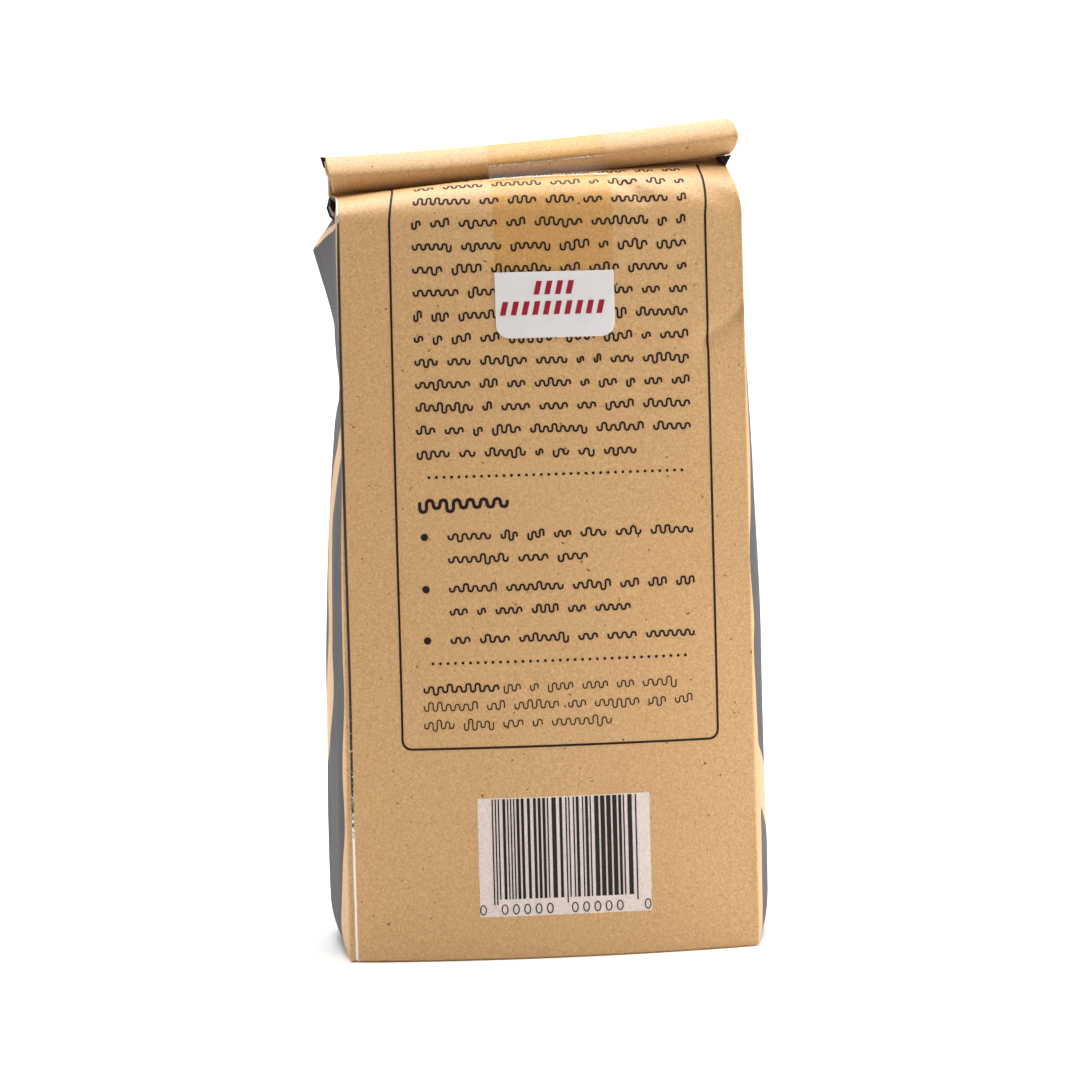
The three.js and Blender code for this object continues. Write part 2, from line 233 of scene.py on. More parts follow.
# A word's place is a wavy line. Its turns stand at the word's height, and some reach past it
TURN_PITCH = 0.95
WORD_GAP = 2.0
WORD_UNIT = 1.9
WORD_UNITS = (1, 2, 2, 3, 3, 4, 5, 6)
ROW_SLACK = 4  # no word is added in the last of a row
WORD_ENDS = 0.8  # how far up its height a word's line starts
PAST_HEAD = (0, 0, 0, 0.3)  # how far turns reach past it, as shares of the height
PAST_FOOT = (0, 0, 0, 0, -0.3)
TURN_OUT, TURN_UP = 0.7, 0.75  # a point on the way up a turn, as shares of its reach and its rise
MITRE_LIMIT = 0.5  # keeps a stroke's outer corner within twice its half width

# The bar code, whose bars and spaces are whole modules wide
CODE_FIELD = (-17.2, 9.4, 20.0, 35.0)
FIELD_LIFT, BARS_LIFT = 0.03, 0.07
MODULE = 0.33
MODULES = 95
GUARDS = ((0, 3), (45, 50), (92, 95))
BAR_WIDTHS = (1, 1, 2, 2, 3)
SPACE_WIDTHS = (1, 1, 2, 2)
BAR_TRIM = 0.03
BARS_LEFT = -14.2
BARS_LOW, GUARDS_LOW, BARS_HIGH = 13.1, 11.9, 34.8
OVAL = {"z": 10.9, "half_width": 0.75, "half_height": 1.15, "stroke": 0.26}
OVAL_GROUPS = (7, 53)  # the modules where the two groups of ovals start
OVALS = 5
OVAL_PITCH = 7.4  # modules
OUTER_OVALS = (2.3, 2.0)  # how far outside the bars the first and the last oval stand

# The tape
TAPE_BRIDGE = 1.9  # how far in front of the roll the tape leaves the back panel
TAPE_GRIP = 0.7  # how far below the roll's front edge the tape meets it
TAPE_COLUMNS = 24
TAPE_STEPS = 220
FILM_LIFT, FILM_THICKNESS = 0.22, 0.07
CREASE_LIFT, CREASE_THICKNESS, CREASE_HALF_WIDTH = 0.25, 0.03, 0.2
TAB_LIFT, TAB_THICKNESS = 0.27, 0.04
DASH_LIFT, DASH_THICKNESS = 0.3, 0.03
STRIP_CELL = 0.5
STRIP_CORNER_STEPS = 8
DASH_ROWS = ((-4.6, 4, 9.2), (-11.9, 10, 4.9))  # each row's start from the middle, count and height
DASH_PITCH, DASH_WIDTH, DASH_HEIGHT, DASH_SLANT = 2.3, 1.2, 2.9, 0.7

# The materials' patterns in millimetres, and their colours that aren't settings
FIBRE = 0.5  # 0.05 in the paper, drawn as fine as the render can show
FLECK = 1.1
RAGGEDNESS = 0.12  # of the ink's border
EDGE_FLECK = 0.7
FILM_RIPPLE = 7
# the size of the breaks in the painted glint on the film's creases
GLINT_BREAKS = 0.8
TAB_CLOUD = 3
FLOOR_MOTTLES = 3.0  # in a metre
PAPER_IOR = 1.5
FILM_IOR = 1.49
FILM_GLOSS = 0.005  # the share of light that each of the film's two faces reflects
TAB_COVER = 0.56  # the share of light that the milky film holds back
WHITE = "#FFFFFF"
# The raw edge's dark is ink with painted shade, and its pale is foil with a painted glint
EDGE_INK_AND_SHADE = "#0B0807"
EDGE_FOIL_GLINT = "#E6E1DC"
FILM_TINT = "#FDFAF2"
# the painted glint on the film's creases
CREASE_GLINT = "#E2DAD2"
# painted shade of the folds' hollows, darker than the charcoal ink
FOLD_SHADE = "#0E0B0B"
FOLD_PALE = "#A8A4A4"
BAR_INK = "#16120F"

# The studio
CAMERA_TARGET = (-1.9, -30, 90)
SENSOR_WIDTH = 36
CLIP_NEAR, CLIP_FAR = 0.05, 20  # metres
SOFTBOXES = (  # the lamp, its place, the point that it faces and its width
    ("top", (40, 0, 760), (0, 0, 90), 520),
    ("right", (700, -120, 240), (0, 0, 90), 420),
    ("left", (-700, 20, 300), (0, 0, 90), 420),
    ("front", (300, -900, 200), (0, 0, 60), 420),
    ("backdrop", (0, 500, 1000), (0, 1250, 350), 700),
)
FLOOR_HALF = 1700
FLOOR_BACK = 900
SWEEP_RADIUS = 350
BACKDROP_TOP = 1600
FLOOR_ROWS, SWEEP_ROWS, BACKDROP_ROWS = 12, 12, 4
FLOOR_COLUMNS = 17


def linear(code):
    """The linear colour for an sRGB hex value."""
    channels = [int(code[i : i + 2], 16) / 255 for i in (1, 3, 5)]
    return tuple(c / 12.92 if c <= 0.04045 else ((c + 0.055) / 1.055) ** 2.4 for c in channels)


def size(name, description, millimetres):
    """A length that the user can change."""
    default = millimetres * MM
    return FloatProperty(name=name, description=description, default=default, unit="LENGTH", precision=4)


def colour(name, description, code):
    """A colour that the user can change."""
    return FloatVectorProperty(
        name=name,
        description=description,
        default=linear(code),
        subtype="COLOR",
        min=0,
        max=1,
    )


def watts(name, description, power):
    """A lamp's power that the user can change."""
    return FloatProperty(name=name, description=description, default=power, min=0)



def angle(name, description, degrees):
    """An angle that the user can change."""
    return FloatProperty(name=name, description=description, default=math.radians(degrees), subtype="ANGLE")


# Settings


class BagSettings(bpy.types.PropertyGroup):
    """Sizes and colours of the folded bag"""

    panel_width: size("Panel width", "Width of the back panel between its folds", 87.2)
    base_depth: size("Base depth", "Depth of the filled bag at its bottom", 60)
    shoulder_depth: size("Shoulder depth", "Depth of the filled bag at its shoulders", 57)
    back_shoulder: size("Back shoulder", "Height where the back panel bends over", 159)
    front_shoulder: size("Front shoulder", "Height where the front panel bends over", 146)
    roll_height: size("Roll height", "Height of the roll's centre at the middle of its width", 172.3)
    roll_radius: size("Roll radius", "Half of the roll's height and of its depth", 4.15)
    roll_tilt: angle("Roll tilt", "The roll's right end is the higher one by this angle", 4.2)
    kraft: colour("Kraft", "Colour of the paper's pale fibres", "#DDB37F")
    kraft_dark: colour("Kraft fibre", "Colour of the paper's dark fibres", "#A97F4E")
    fleck: colour("Fleck", "Colour of the few dark flecks in the paper", "#6E4A2A")
    charcoal: colour("Charcoal ink", "Colour of the printed gussets", "#454243")


class PrintSettings(bpy.types.PropertyGroup):
    """Sizes and colours of the back panel's print"""

    left: size("Block's left side", "Place of the left ends of the rows of marks", -28.2)
    right: size("Block's right side", "Place of the right ends of the rows of marks", 31.2)
    row_pitch: size("Row pitch", "Distance from one row of marks to the next", 4.905)
    stroke: size("Stroke", "Width of the thin strokes", 0.42)
    seed: IntProperty(name="Seed", description="Chooses the lengths of the marks", default=7, min=0)
    ink: colour("Ink", "Colour of the thin print", "#1A0803")
    field: colour("Bar code field", "Colour of the bar code's plain field", "#DACBC3")


class TapeSettings(bpy.types.PropertyGroup):
    """Sizes and colours of the resealable tape"""

    width: size("Tape width", "Width of the strip", 25.6)
    place: size("Tape's place", "Place of the strip's middle across the bag", 2.6)
    back_end: size("Back end", "Height of the tab's lower edge on the back panel", 133)
    front_end: size("Front end", "Height of the strip's end on the front panel", 128)
    tab_length: size("Tab length", "Length of the milky tab", 14.1)
    corner: size("Corner radius", "Radius of the tab's corners", 3)
    tab: colour("Tab", "Colour of the milky tab", "#FBF8F7")
    mark: colour("Marks", "Colour of the tab's dashes", "#951426")


class StudioSettings(bpy.types.PropertyGroup):
    """The camera, the lights and the floor"""

    azimuth: angle("Azimuth", "Side that the camera stands on", -5)
    elevation: angle("Elevation", "Height of the camera as an angle", 4)
    lean: angle("Lean", "How far the picture is turned", 1.5)
    distance: size("Distance", "From the camera to the point that it looks at", 800)
    lens: FloatProperty(
        name="Lens",
        description="Focal length in millimetres on a 36 mm sensor",
        default=124.2,
        min=10,
    )
    top_power: watts("Top light", "Power of the overhead softbox", 8.2)
    right_power: watts("Right light", "Power of the softbox on the right", 5)
    left_power: watts("Left light", "Power of the softbox on the left", 2.6)
    front_power: watts("Front light", "Power of the softbox behind the camera", 0.6)
    backdrop_power: watts("Backdrop light", "Power of the softbox that lights the backdrop", 12)
    ambient: FloatProperty(
        name="Ambient light",
        description="Brightness of the tent round the set",
        default=0.05,
        min=0,
    )
    floor: colour("Floor", "Colour of the floor", "#FAFAFA")


# Shape of the folded sheet


def mix(a, b, t):
    """The value a share t of the way from a to b."""
    return a + (b - a) * t


def smooth(t):
    """A share from 0 to 1 that starts and ends slowly."""
    return t * t * (3 - 2 * t)


def along(stations, height):
    """The value at a height, on a smooth curve through the stations."""
    heights = [at for at, _ in stations]
    values = [value for _, value in stations]
    last = len(stations) - 1
    if height <= heights[0]:
        return values[0]
    if height >= heights[last]:
        return values[last]
    i = next(k for k, at in enumerate(heights) if at >= height)

    def slope(k):
        low, high = max(k - 1, 0), min(k + 1, last)
        return (values[high] - values[low]) / (heights[high] - heights[low])

    span = heights[i] - heights[i - 1]
    t = (height - heights[i - 1]) / span
    lead = t * (1 - t) ** 2 * span
    trail = t * t * (1 - t) * span
    return mix(values[i - 1], values[i], smooth(t)) + slope(i - 1) * lead - slope(i) * trail


def bend(start, pull, end, t, tightness=SOFT_BEND):
    """A point on a curve from start to end that is drawn towards pull, more sharply with more tightness."""
    first, second = start.lerp(pull, tightness), end.lerp(pull, tightness)
    u = 1 - t
    return start * u**3 + first * (3 * u * u * t) + second * (3 * u * t * t) + end * t**3


def scaled(a, b):
    """Two vectors multiplied one coordinate at a time."""
    return Vector(p * q for p, q in zip(a, b))


def crowded(count):
    """Shares from 0 to 1 that stand closer together at both ends."""
    steps = [i / count for i in range(count + 1)]
    return [t - CROWDING * math.sin(2 * math.pi * t) / (2 * math.pi) for t in steps]


PANEL_SHARES = crowded(PANEL_STEPS)
PANEL_MIDDLE = PANEL_STEPS // 2
GUSSET_SHARES = [i / GUSSET_STEPS for i in range(GUSSET_STEPS + 1)]


class BagShape:
    """The bag's loops from its base to the roll's inner end. A level holds one loop's corners and middles."""

    def __init__(self, bag):
        self.half = bag.panel_width / MM / 2
        self.depths = (bag.base_depth / MM / 2, bag.shoulder_depth / MM / 2)
        self.back_top = bag.back_shoulder / MM
        self.front_top = bag.front_shoulder / MM
        self.roll_z = bag.roll_height / MM
        self.radius = bag.roll_radius / MM
        self.slope = math.tan(bag.roll_tilt)

    def body_level(self, share):
        """share runs from 0 at the base to 1 at the shoulders."""
        back_z = share * self.back_top
        front_z = share * self.front_top
        middle_z = share * EAR_HEIGHT
        depth = mix(*self.depths, share)
        crease = smooth(max(0, (share - CREASING) / (1 - CREASING)))
        return {
            "backLeft": Vector((-self.half + along(LEFT_EDGE_SHIFT, back_z), -depth, back_z)),
            "backRight": Vector((self.half, -depth, back_z)),
            "frontLeft": Vector((-self.half + FRONT_SHIFT, depth, front_z)),
            "frontRight": Vector((self.half + FRONT_SHIFT, depth, front_z)),
            "middleLeft": Vector((-along(LEFT_GUSSET, middle_z), 0, middle_z)),
            "middleRight": Vector((along(RIGHT_GUSSET, middle_z), 0, middle_z)),
            "backCrown": Vector((0, -along(BACK_CROWN, back_z), 0)),
            "frontCrown": Vector((0, along(FRONT_CROWN, front_z), 0)),
            "lapMargin": along(LAP_MARGIN, back_z),
            "pull": Vector(ROUND_PULL).lerp(Vector(STRAIGHT_PULL), crease),
            "rawEdge": along(RAW_EDGE_WIDTH, back_z),
        }

    def shoulder_level(self, share):
        """share runs from 0 at the shoulders to 1 at the foot of the roll, where both panels meet."""
        start = self.body_level(1)
        end = self.roll_level(-NECK_ANGLE)

        def corner(name, pull_y, pull_z, tightness=SOFT_BEND):
            pull = Vector((mix(start[name].x, end[name].x, BEND_DRIFT), pull_y, pull_z))
            return bend(start[name], pull, end[name], share, tightness)

        def middle(name):
            top = end[name] + Vector((0, 0, GUSSET_DIP))
            reach = scaled(top - start[name], MIDDLE_REACH)
            return bend(start[name], start[name] + reach, top, share)

        fade = 1 - smooth(share)
        arch = math.sin(math.pi * share)
        dip = Vector((0, 0, GUSSET_DIP * share**DIP_POWER))
        level = {}
        for side in ("Left", "Right"):
            back, front, gusset = "back" + side, "front" + side, "middle" + side
            level[back] = corner(back, start[back].y + BACK_BEND_IN, BACK_CREST[side], BEND_TIGHTNESS[side])
            level[front] = corner(front, start[front].y - FRONT_BEND_IN, FRONT_CREST)
            level[gusset] = middle(gusset) - dip
        level["backCrown"] = start["backCrown"] * fade + Vector((0, 0, BACK_RISE * arch))
        level["frontCrown"] = start["frontCrown"] * fade + Vector((0, 0, FRONT_RISE * arch))
        level["lapMargin"] = start["lapMargin"]
        level["pull"] = Vector(SHOULDER_PULL).lerp(Vector(STRAIGHT_PULL), fade)
        level["rawEdge"] = start["rawEdge"] * mix(1, NARROWED_EDGE, share)
        dent = math.sin(math.pi * share**2)
        level["backLeft"].x += EDGE_DENT["Left"] * dent
        level["backRight"].x -= EDGE_DENT["Right"] * dent
        return level

    def roll_level(self, angle):
        """The flattened tube as it goes up behind the roll, for angles below 0, and then round it."""
        turned = math.radians(max(angle, 0))
        shrink = ROLL_PITCH * max(angle, 0) / 360
        radius = self.radius - shrink
        rise = self.radius * min(angle, 0) / NECK_ANGLE
        out = Vector((0, math.cos(turned), math.sin(turned)))
        groove = mix(END_GROOVE, TUCK, -angle / NECK_ANGLE) if angle < 0 else END_GROOVE

        def at(x, offset, crease):
            across = math.copysign(abs(out.y) ** crease, out.y)
            up = math.copysign(abs(out.z) ** crease, out.z)
            height = self.roll_z + x * self.slope + radius * up + rise
            return Vector((x, ROLL_CENTRE_Y + radius * across, height)) + out * offset

        left = ROLL_LEFT - LEFT_END_SLANT * math.sin(turned)
        right = ROLL_RIGHT + RIGHT_END_POINT * max(0, -math.cos(turned))
        before = max(0, -angle / NECK_ANGLE)
        sag = Vector((0, 0, -ROLL_SAG * (1 - before)))
        dip = Vector((0, 0, GUSSET_DIP * before))
        return {
            "backLeft": at(left, -BAND / 2, ROLL_CREASE["Left"]),
            "backRight": at(right, -BAND / 2, ROLL_CREASE["Right"]),
            "frontLeft": at(left, BAND / 2, ROLL_CREASE["Left"]),
            "frontRight": at(right, BAND / 2, ROLL_CREASE["Right"]),
            "middleLeft": at(left + groove, 0, ROLL_CREASE["Left"]) - dip,
            "middleRight": at(right - groove, 0, ROLL_CREASE["Right"]) - dip,
            "backCrown": sag,
            "frontCrown": sag,
            "lapMargin": along(LAP_MARGIN, self.back_top),
            "pull": Vector(STRAIGHT_PULL),
            "rawEdge": ROLLED_EDGE,
        }

    def levels(self):
        """All levels from the base to the inner end of the roll."""
        body = [self.body_level((i / BODY_STEPS) ** CLOSER_STEPS) for i in range(1, BODY_STEPS + 1)]
        shoulder = [self.shoulder_level(i / SHOULDER_STEPS) for i in range(1, SHOULDER_STEPS + 1)]
        neck = [self.roll_level(-NECK_ANGLE * (1 - i / NECK_STEPS)) for i in range(1, NECK_STEPS + 1)]
        rolled = ROLL_TURNS * STEPS_A_TURN
        roll = [self.roll_level(360 * i / STEPS_A_TURN) for i in range(1, rolled + 1)]
        return body + shoulder + neck + roll


def panel_points(level, side):
    """A panel's points from left to right."""
    left, right, crown = level[side + "Left"], level[side + "Right"], level[side + "Crown"]
    return [left.lerp(right, share) + crown * (4 * share * (1 - share)) for share in PANEL_SHARES]


def half_gusset(corner, middle, pull):
    """Half a gusset from its corner to its middle."""
    reach = corner + scaled(middle - corner, pull)
    return [bend(corner, reach, middle, share) for share in GUSSET_SHARES]


# The loop's runs of steps in order, anticlockwise from above, from the back panel's left corner
RUNS = (
    ("back", PANEL_STEPS),
    ("right gusset", 2 * GUSSET_STEPS),
    ("front", PANEL_STEPS),
    ("left gusset", 2 * GUSSET_STEPS),
    ("lap margin", MARGIN_STEPS),
    ("raw edge", EDGE_STEPS),
)
RUN_OF_STEP = [name for name, count in RUNS for _ in range(count)]
LOOP = len(RUN_OF_STEP)


def loop_points(level):
    """The closed loop of points round one level."""
    through = level["frontLeft"] - level["backLeft"]
    through.x = 0
    lap = through.normalized() * min(LAP_THICKNESS, LAP_SHARE * through.length)
    edge_foot = level["backLeft"] + lap + Vector((-level["rawEdge"], 0, 0))
    fold = edge_foot + Vector((-level["lapMargin"], 0, 0))
    right = half_gusset(level["backRight"], level["middleRight"], level["pull"])
    right += half_gusset(level["frontRight"], level["middleRight"], level["pull"])[-2::-1]
    left = half_gusset(level["frontLeft"], level["middleLeft"], level["pull"])
    left += half_gusset(fold, level["middleLeft"], level["pull"])[-2::-1]
    margin = [fold.lerp(edge_foot, i / MARGIN_STEPS) for i in range(MARGIN_STEPS + 1)]
    edge = [edge_foot.lerp(level["backLeft"], i / EDGE_STEPS) for i in range(EDGE_STEPS + 1)]
    runs = (panel_points(level, "back"), right, panel_points(level, "front")[::-1], left, margin, edge)
    return [point for run in runs for point in run[:-1]]


def unit_normals(grid):
    """Outward normals of a grid of points whose rows are closed loops."""
    ahead = np.roll(grid, -1, axis=1) - np.roll(grid, 1, axis=1)
    up = np.gradient(grid, axis=0)
    out = np.cross(ahead, up)
    return out / np.maximum(np.linalg.norm(out, axis=2, keepdims=True), 1e-9)


def crease_depth(x, z):
    """How far the back panel is pushed in by its creases at a place."""
    depth = 0.0
    for (x0, z0), (x1, z1), width, deep in CREASES:
        run = Vector((x1 - x0, z1 - z0))
        t = Vector((x - x0, z - z0)).dot(run) / run.length_squared
        near = Vector((x0, z0)) + run * min(max(t, 0), 1)
        away = (Vector((x, z)) - near).length / width
        past = max(0, abs(t - 0.5) - 0.5) * 2
        depth += deep * math.exp(-away * away) * math.exp(-past * past)
    return depth


def relief(run, point, arc):
    """How far out a point of the sheet stands from its smooth form: soft swells, crumples and creases."""
    broad = noise.noise(point / SWELL_LENGTH)
    if run == "back":
        return BACK_SWELL * broad - crease_depth(point.x, arc)
    if run == "front":
        return FRONT_SWELL * broad + FRONT_CRUMPLE * noise.noise(point / CRUMPLE_LENGTH)
    if run in ("left gusset", "right gusset"):
        upright = Vector((point.x / CRUMPLE_LENGTH, point.y / CRUMPLE_LENGTH, point.z / UPRIGHT_LENGTH))
        return GUSSET_SWELL * broad + GUSSET_CRUMPLE * noise.noise(upright)
    return 0.0


def sheet_grid(shape):
    """The sheet's points as levels by loop points, in millimetres, and each level's height up the sheet."""
    grid = np.array([[tuple(p) for p in loop_points(level)] for level in shape.levels()])
    climb = np.linalg.norm(np.diff(grid[:, PANEL_MIDDLE], axis=0), axis=1)
    arc = grid[0, PANEL_MIDDLE, 2] + np.concatenate([[0], np.cumsum(climb)])
    normals = unit_normals(grid)
    out = np.zeros(grid.shape[:2])
    last_free = BODY_STEPS + SHOULDER_STEPS
    for row in range(last_free):
        calm = min(1, (last_free - row) / CALM_UNDER_ROLL, (row + 1) / CALM_OVER_BASE)
        for column, run in enumerate(RUN_OF_STEP):
            out[row, column] = calm * relief(run, Vector(grid[row, column]), arc[row])
    for name, start, count in run_places():
        if name in ("lap margin", "raw edge"):
            out[:, start : start + count + 1] = 0
        fold = np.minimum(np.arange(count + 1), count - np.arange(count + 1)) / CALM_BESIDE_FOLD
        columns = np.arange(start, start + count + 1) % LOOP
        out[:, columns] *= np.minimum(1, fold if name != "back" else BACK_FOLD_SHARE + fold)
    out[:, 0] = 0
    return grid + normals * out[:, :, None], arc


def run_places():
    """Every run's name, its first point in the loop and its count of steps."""
    start = 0
    for name, count in RUNS:
        yield name, start, count
        start += count


def smooth_band(stations):
    """The band's centre line as a smooth curve through its stations, in short steps."""
    points = [Vector(station) for station in stations]
    padded = [points[0], *points, points[-1]]
    band = []
    for before, start, end, after in zip(padded, padded[1:], padded[2:], padded[3:]):
        for i in range(BAND_STEPS):
            t = i / BAND_STEPS
            lead = (end - before) * (t * (1 - t) ** 2 / 2)
            trail = (after - start) * (t * t * (1 - t) / 2)
            band.append(start.lerp(end, smooth(t)) + lead - trail)
    return [*band, points[-1]]


def distance_to_band(band, g, z):
    """Distances from places on the sheet to the edge of a plain band, negative inside it."""
    best = np.full(g.shape, np.inf)
    for (g0, z0, w0), (g1, z1, w1) in zip(band, band[1:]):
        across, up = g1 - g0, z1 - z0
        t = np.clip(((g - g0) * across + (z - z0) * up) / (across**2 + up**2), 0, 1)
        away = np.hypot(g - mix(g0, g1, t), z - mix(z0, z1, t))
        best = np.minimum(best, away - mix(w0, w1, t))
    return best


def ink_reach(grid):
    """How far inside the printed field each point lies, in millimetres; it is plain paper below 0."""
    places = {name: (start, count) for name, start, count in run_places()}
    right_fold = places["right gusset"][0]
    left_fold = sum(places["left gusset"])
    rows = slice(0, BODY_STEPS + SHOULDER_STEPS)
    columns = slice(right_fold, left_fold + 1)
    steps = np.linalg.norm(np.diff(grid, axis=1, append=grid[:, :1]), axis=2)
    girth = (np.cumsum(steps, axis=1) - steps)[rows]
    z = grid[rows, columns, 2]
    from_left = girth[:, [left_fold]] - girth[:, columns]
    from_right = girth[:, columns] - girth[:, [right_fold]]
    field = np.minimum(from_left - np.vectorize(along, excluded=[0])(LEFT_INK_MARGIN, z), INK_LIMIT)
    field = np.minimum(field, from_right - np.vectorize(along, excluded=[0])(RIGHT_INK_MARGIN, z))
    for stations in (WAVE, EAR_STRIPE):
        field = np.minimum(field, distance_to_band(smooth_band(stations), from_left, z))
    front, count = places["front"]
    on_front = slice(front - right_fold, front - right_fold + count)
    field[:, on_front] = np.minimum(field[:, on_front], FRONT_INK_TOP - z[:, on_front])
    reach = np.full(grid.shape[:2], -INK_LIMIT)
    reach[rows, columns] = np.maximum(field, -INK_LIMIT)
    return reach


# Meshes and materials


def new_mesh(scene, name, points, faces):
    """A mesh object in the scene from points in millimetres."""
    mesh = bpy.data.meshes.new(name)
    mesh.from_pydata([Vector(p) * MM for p in points], [], faces)
    mesh.validate()
    obj = bpy.data.objects.new(name, mesh)
    scene.collection.objects.link(obj)
    return obj


def add(tree, kind, inputs=None, **settings):
    """Adds a shader node. An input takes a value, a socket or another node's first output in use."""
    node = tree.nodes.new("ShaderNode" + kind)
    for name, value in settings.items():
        setattr(node, name, value)
    for name, value in (inputs or {}).items():
        if isinstance(value, bpy.types.Node):
            value = next(output for output in value.outputs if output.enabled)
        if isinstance(value, bpy.types.NodeSocket):
            tree.links.new(value, node.inputs[name])
        else:
            node.inputs[name].default_value = value
    return node


COLOUR_A, COLOUR_B = 6, 7  # a Mix node's sockets for colours


def new_material(name):
    """An empty node material, its tree and the object's own coordinates in metres."""
    material = bpy.data.materials.new(name)
    material.use_nodes = True
    material.node_tree.nodes.clear()
    tree = material.node_tree
    return material, tree, add(tree, "TexCoord").outputs["Object"]


def opaque(rgb):
    """A colour with full alpha."""
    return (*rgb, 1.0)


def scale(millimetres):
    """A pattern's scale for the real size of its cells."""
    return 1 / (millimetres * MM)


def kraft_laminate(bag):
    """Uncoated kraft paper on foil, flexo printed in charcoal: a soft sheen, speckled by fibres."""
    material, tree, place = new_material("uncoated_kraft_laminate")
    fibre = add(tree, "TexNoise", {"Vector": place, "Scale": scale(FIBRE), "Detail": 3.0, "Roughness": 0.8})
    fleck = add(tree, "TexNoise", {"Vector": place, "Scale": scale(FLECK), "Detail": 1.0})
    fibre_share = add(tree, "MapRange", {"Value": fibre, "From Min": 0.23, "From Max": 0.77})
    fleck_share = add(tree, "MapRange", {"Value": fleck, "From Min": 0.73, "From Max": 0.8})
    dark, pale = opaque(bag.kraft_dark), opaque(bag.kraft)
    paper = add(tree, "Mix", {"Factor": fibre_share, COLOUR_A: dark, COLOUR_B: pale}, data_type="RGBA")
    specks = {"Factor": fleck_share, COLOUR_A: paper, COLOUR_B: opaque(bag.fleck)}
    flecked = add(tree, "Mix", specks, data_type="RGBA")
    reach = add(tree, "Attribute", attribute_name="ink").outputs["Fac"]
    ragged = add(tree, "Math", {0: fibre, 1: RAGGEDNESS, 2: reach}, operation="MULTIPLY_ADD")
    inked = add(tree, "MapRange", {"Value": ragged, "From Min": 0.0, "From Max": RAGGEDNESS})
    uneven = {"Value": fibre, "From Min": 0.3, "From Max": 0.7, "To Min": 0.75, "To Max": 1.35}
    ink = add(
        tree,
        "VectorMath",
        {0: tuple(bag.charcoal), "Scale": add(tree, "MapRange", uneven)},
        operation="SCALE",
    )
    surface = add(tree, "Mix", {"Factor": inked, COLOUR_A: flecked, COLOUR_B: ink}, data_type="RGBA")
    bump = add(tree, "Bump", {"Height": fibre, "Strength": 0.3, "Distance": 0.05 * MM})
    matt = add(tree, "MapRange", {"Value": inked, "To Min": 0.5, "To Max": 0.75})
    finish = {"Base Color": surface, "Roughness": matt, "IOR": PAPER_IOR, "Specular IOR Level": 0.4}
    shader = add(tree, "BsdfPrincipled", {**finish, "Normal": bump})
    add(tree, "OutputMaterial", {"Surface": shader})
    return material


def raw_edge():
    """The laminate's cut edge: foil between plies of paper, dark with the print's ink and painted shade, and
    silvery with painted glints near its ends.
    """
    material, tree, place = new_material("cut_foil_laminate_edge")
    # The flecks and the silvery ends are painted glints of the foil; the dark between them is ink and painted
    # shade
    fleck = add(tree, "TexNoise", {"Vector": place, "Scale": scale(EDGE_FLECK), "Detail": 2.0})
    bare = add(tree, "Attribute", attribute_name="bare").outputs["Fac"]
    mixed = add(tree, "Math", {0: fleck, 1: 0.9, 2: bare}, operation="MULTIPLY_ADD")
    share = add(tree, "MapRange", {"Value": mixed, "From Min": 0.68, "From Max": 0.9})
    ink_and_shade, foil = opaque(linear(EDGE_INK_AND_SHADE)), opaque(linear(EDGE_FOIL_GLINT))
    shade = add(tree, "Mix", {"Factor": share, COLOUR_A: ink_and_shade, COLOUR_B: foil}, data_type="RGBA")
    shader = add(tree, "BsdfPrincipled", {"Base Color": shade, "Roughness": 0.6, "IOR": PAPER_IOR})
    add(tree, "OutputMaterial", {"Surface": shader})
    return material


def printed_ink(name, rgb, roughness):
    """Flexo ink soaked into kraft paper: matt, and a little uneven where fibres show through."""
    material, tree, place = new_material(name)
    fibre = add(tree, "TexNoise", {"Vector": place, "Scale": scale(FIBRE), "Detail": 3.0})
    uneven = {"Value": fibre, "From Min": 0.3, "From Max": 0.7, "To Min": 0.88, "To Max": 1.12}
    shade = add(tree, "MapRange", uneven)
    tinted = add(tree, "VectorMath", {0: tuple(rgb), "Scale": shade}, operation="SCALE")
    finish = {"Base Color": tinted, "Roughness": roughness, "IOR": PAPER_IOR, "Specular IOR Level": 0.3}
    shader = add(tree, "BsdfPrincipled", finish)
    add(tree, "OutputMaterial", {"Surface": shader})
    return material


def clear_film():
    """Drawn polypropylene film with a clear adhesive: hardly tinted, and seen mostly by its glints."""
    material, tree, place = new_material("clear_polypropylene_film")
    ripple = add(tree, "TexNoise", {"Vector": place, "Scale": scale(FILM_RIPPLE), "Detail": 2.0})
    bump = add(tree, "Bump", {"Height": ripple, "Strength": 0.1, "Distance": 0.2 * MM})
    gloss = add(tree, "BsdfAnisotropic", {"Color": opaque(linear(WHITE)), "Roughness": 0.2, "Normal": bump})
    clear = add(tree, "BsdfTransparent", {"Color": opaque(linear(FILM_TINT))})
    shader = add(tree, "MixShader", {0: FILM_GLOSS, 1: clear, 2: gloss})
    add(tree, "OutputMaterial", {"Surface": shader})
    return material


def painted_crease_glint():
    """A painted glint along the film's sharp bends: a broken milky line."""
    material, tree, place = new_material("stress_whitened_polypropylene_film")
    broken = add(tree, "TexNoise", {"Vector": place, "Scale": scale(GLINT_BREAKS), "Detail": 2.0})
    cover = {"Value": broken, "From Min": 0.4, "From Max": 0.65, "To Min": 0.15, "To Max": 0.85}
    share = add(tree, "MapRange", cover)
    finish = {"Base Color": opaque(linear(CREASE_GLINT)), "Roughness": 0.25, "IOR": FILM_IOR}
    body = add(tree, "BsdfPrincipled", finish)
    clear = add(tree, "BsdfTransparent", {"Color": opaque(linear(WHITE))})
    shader = add(tree, "MixShader", {0: share, 1: clear, 2: body})
    add(tree, "OutputMaterial", {"Surface": shader})
    return material


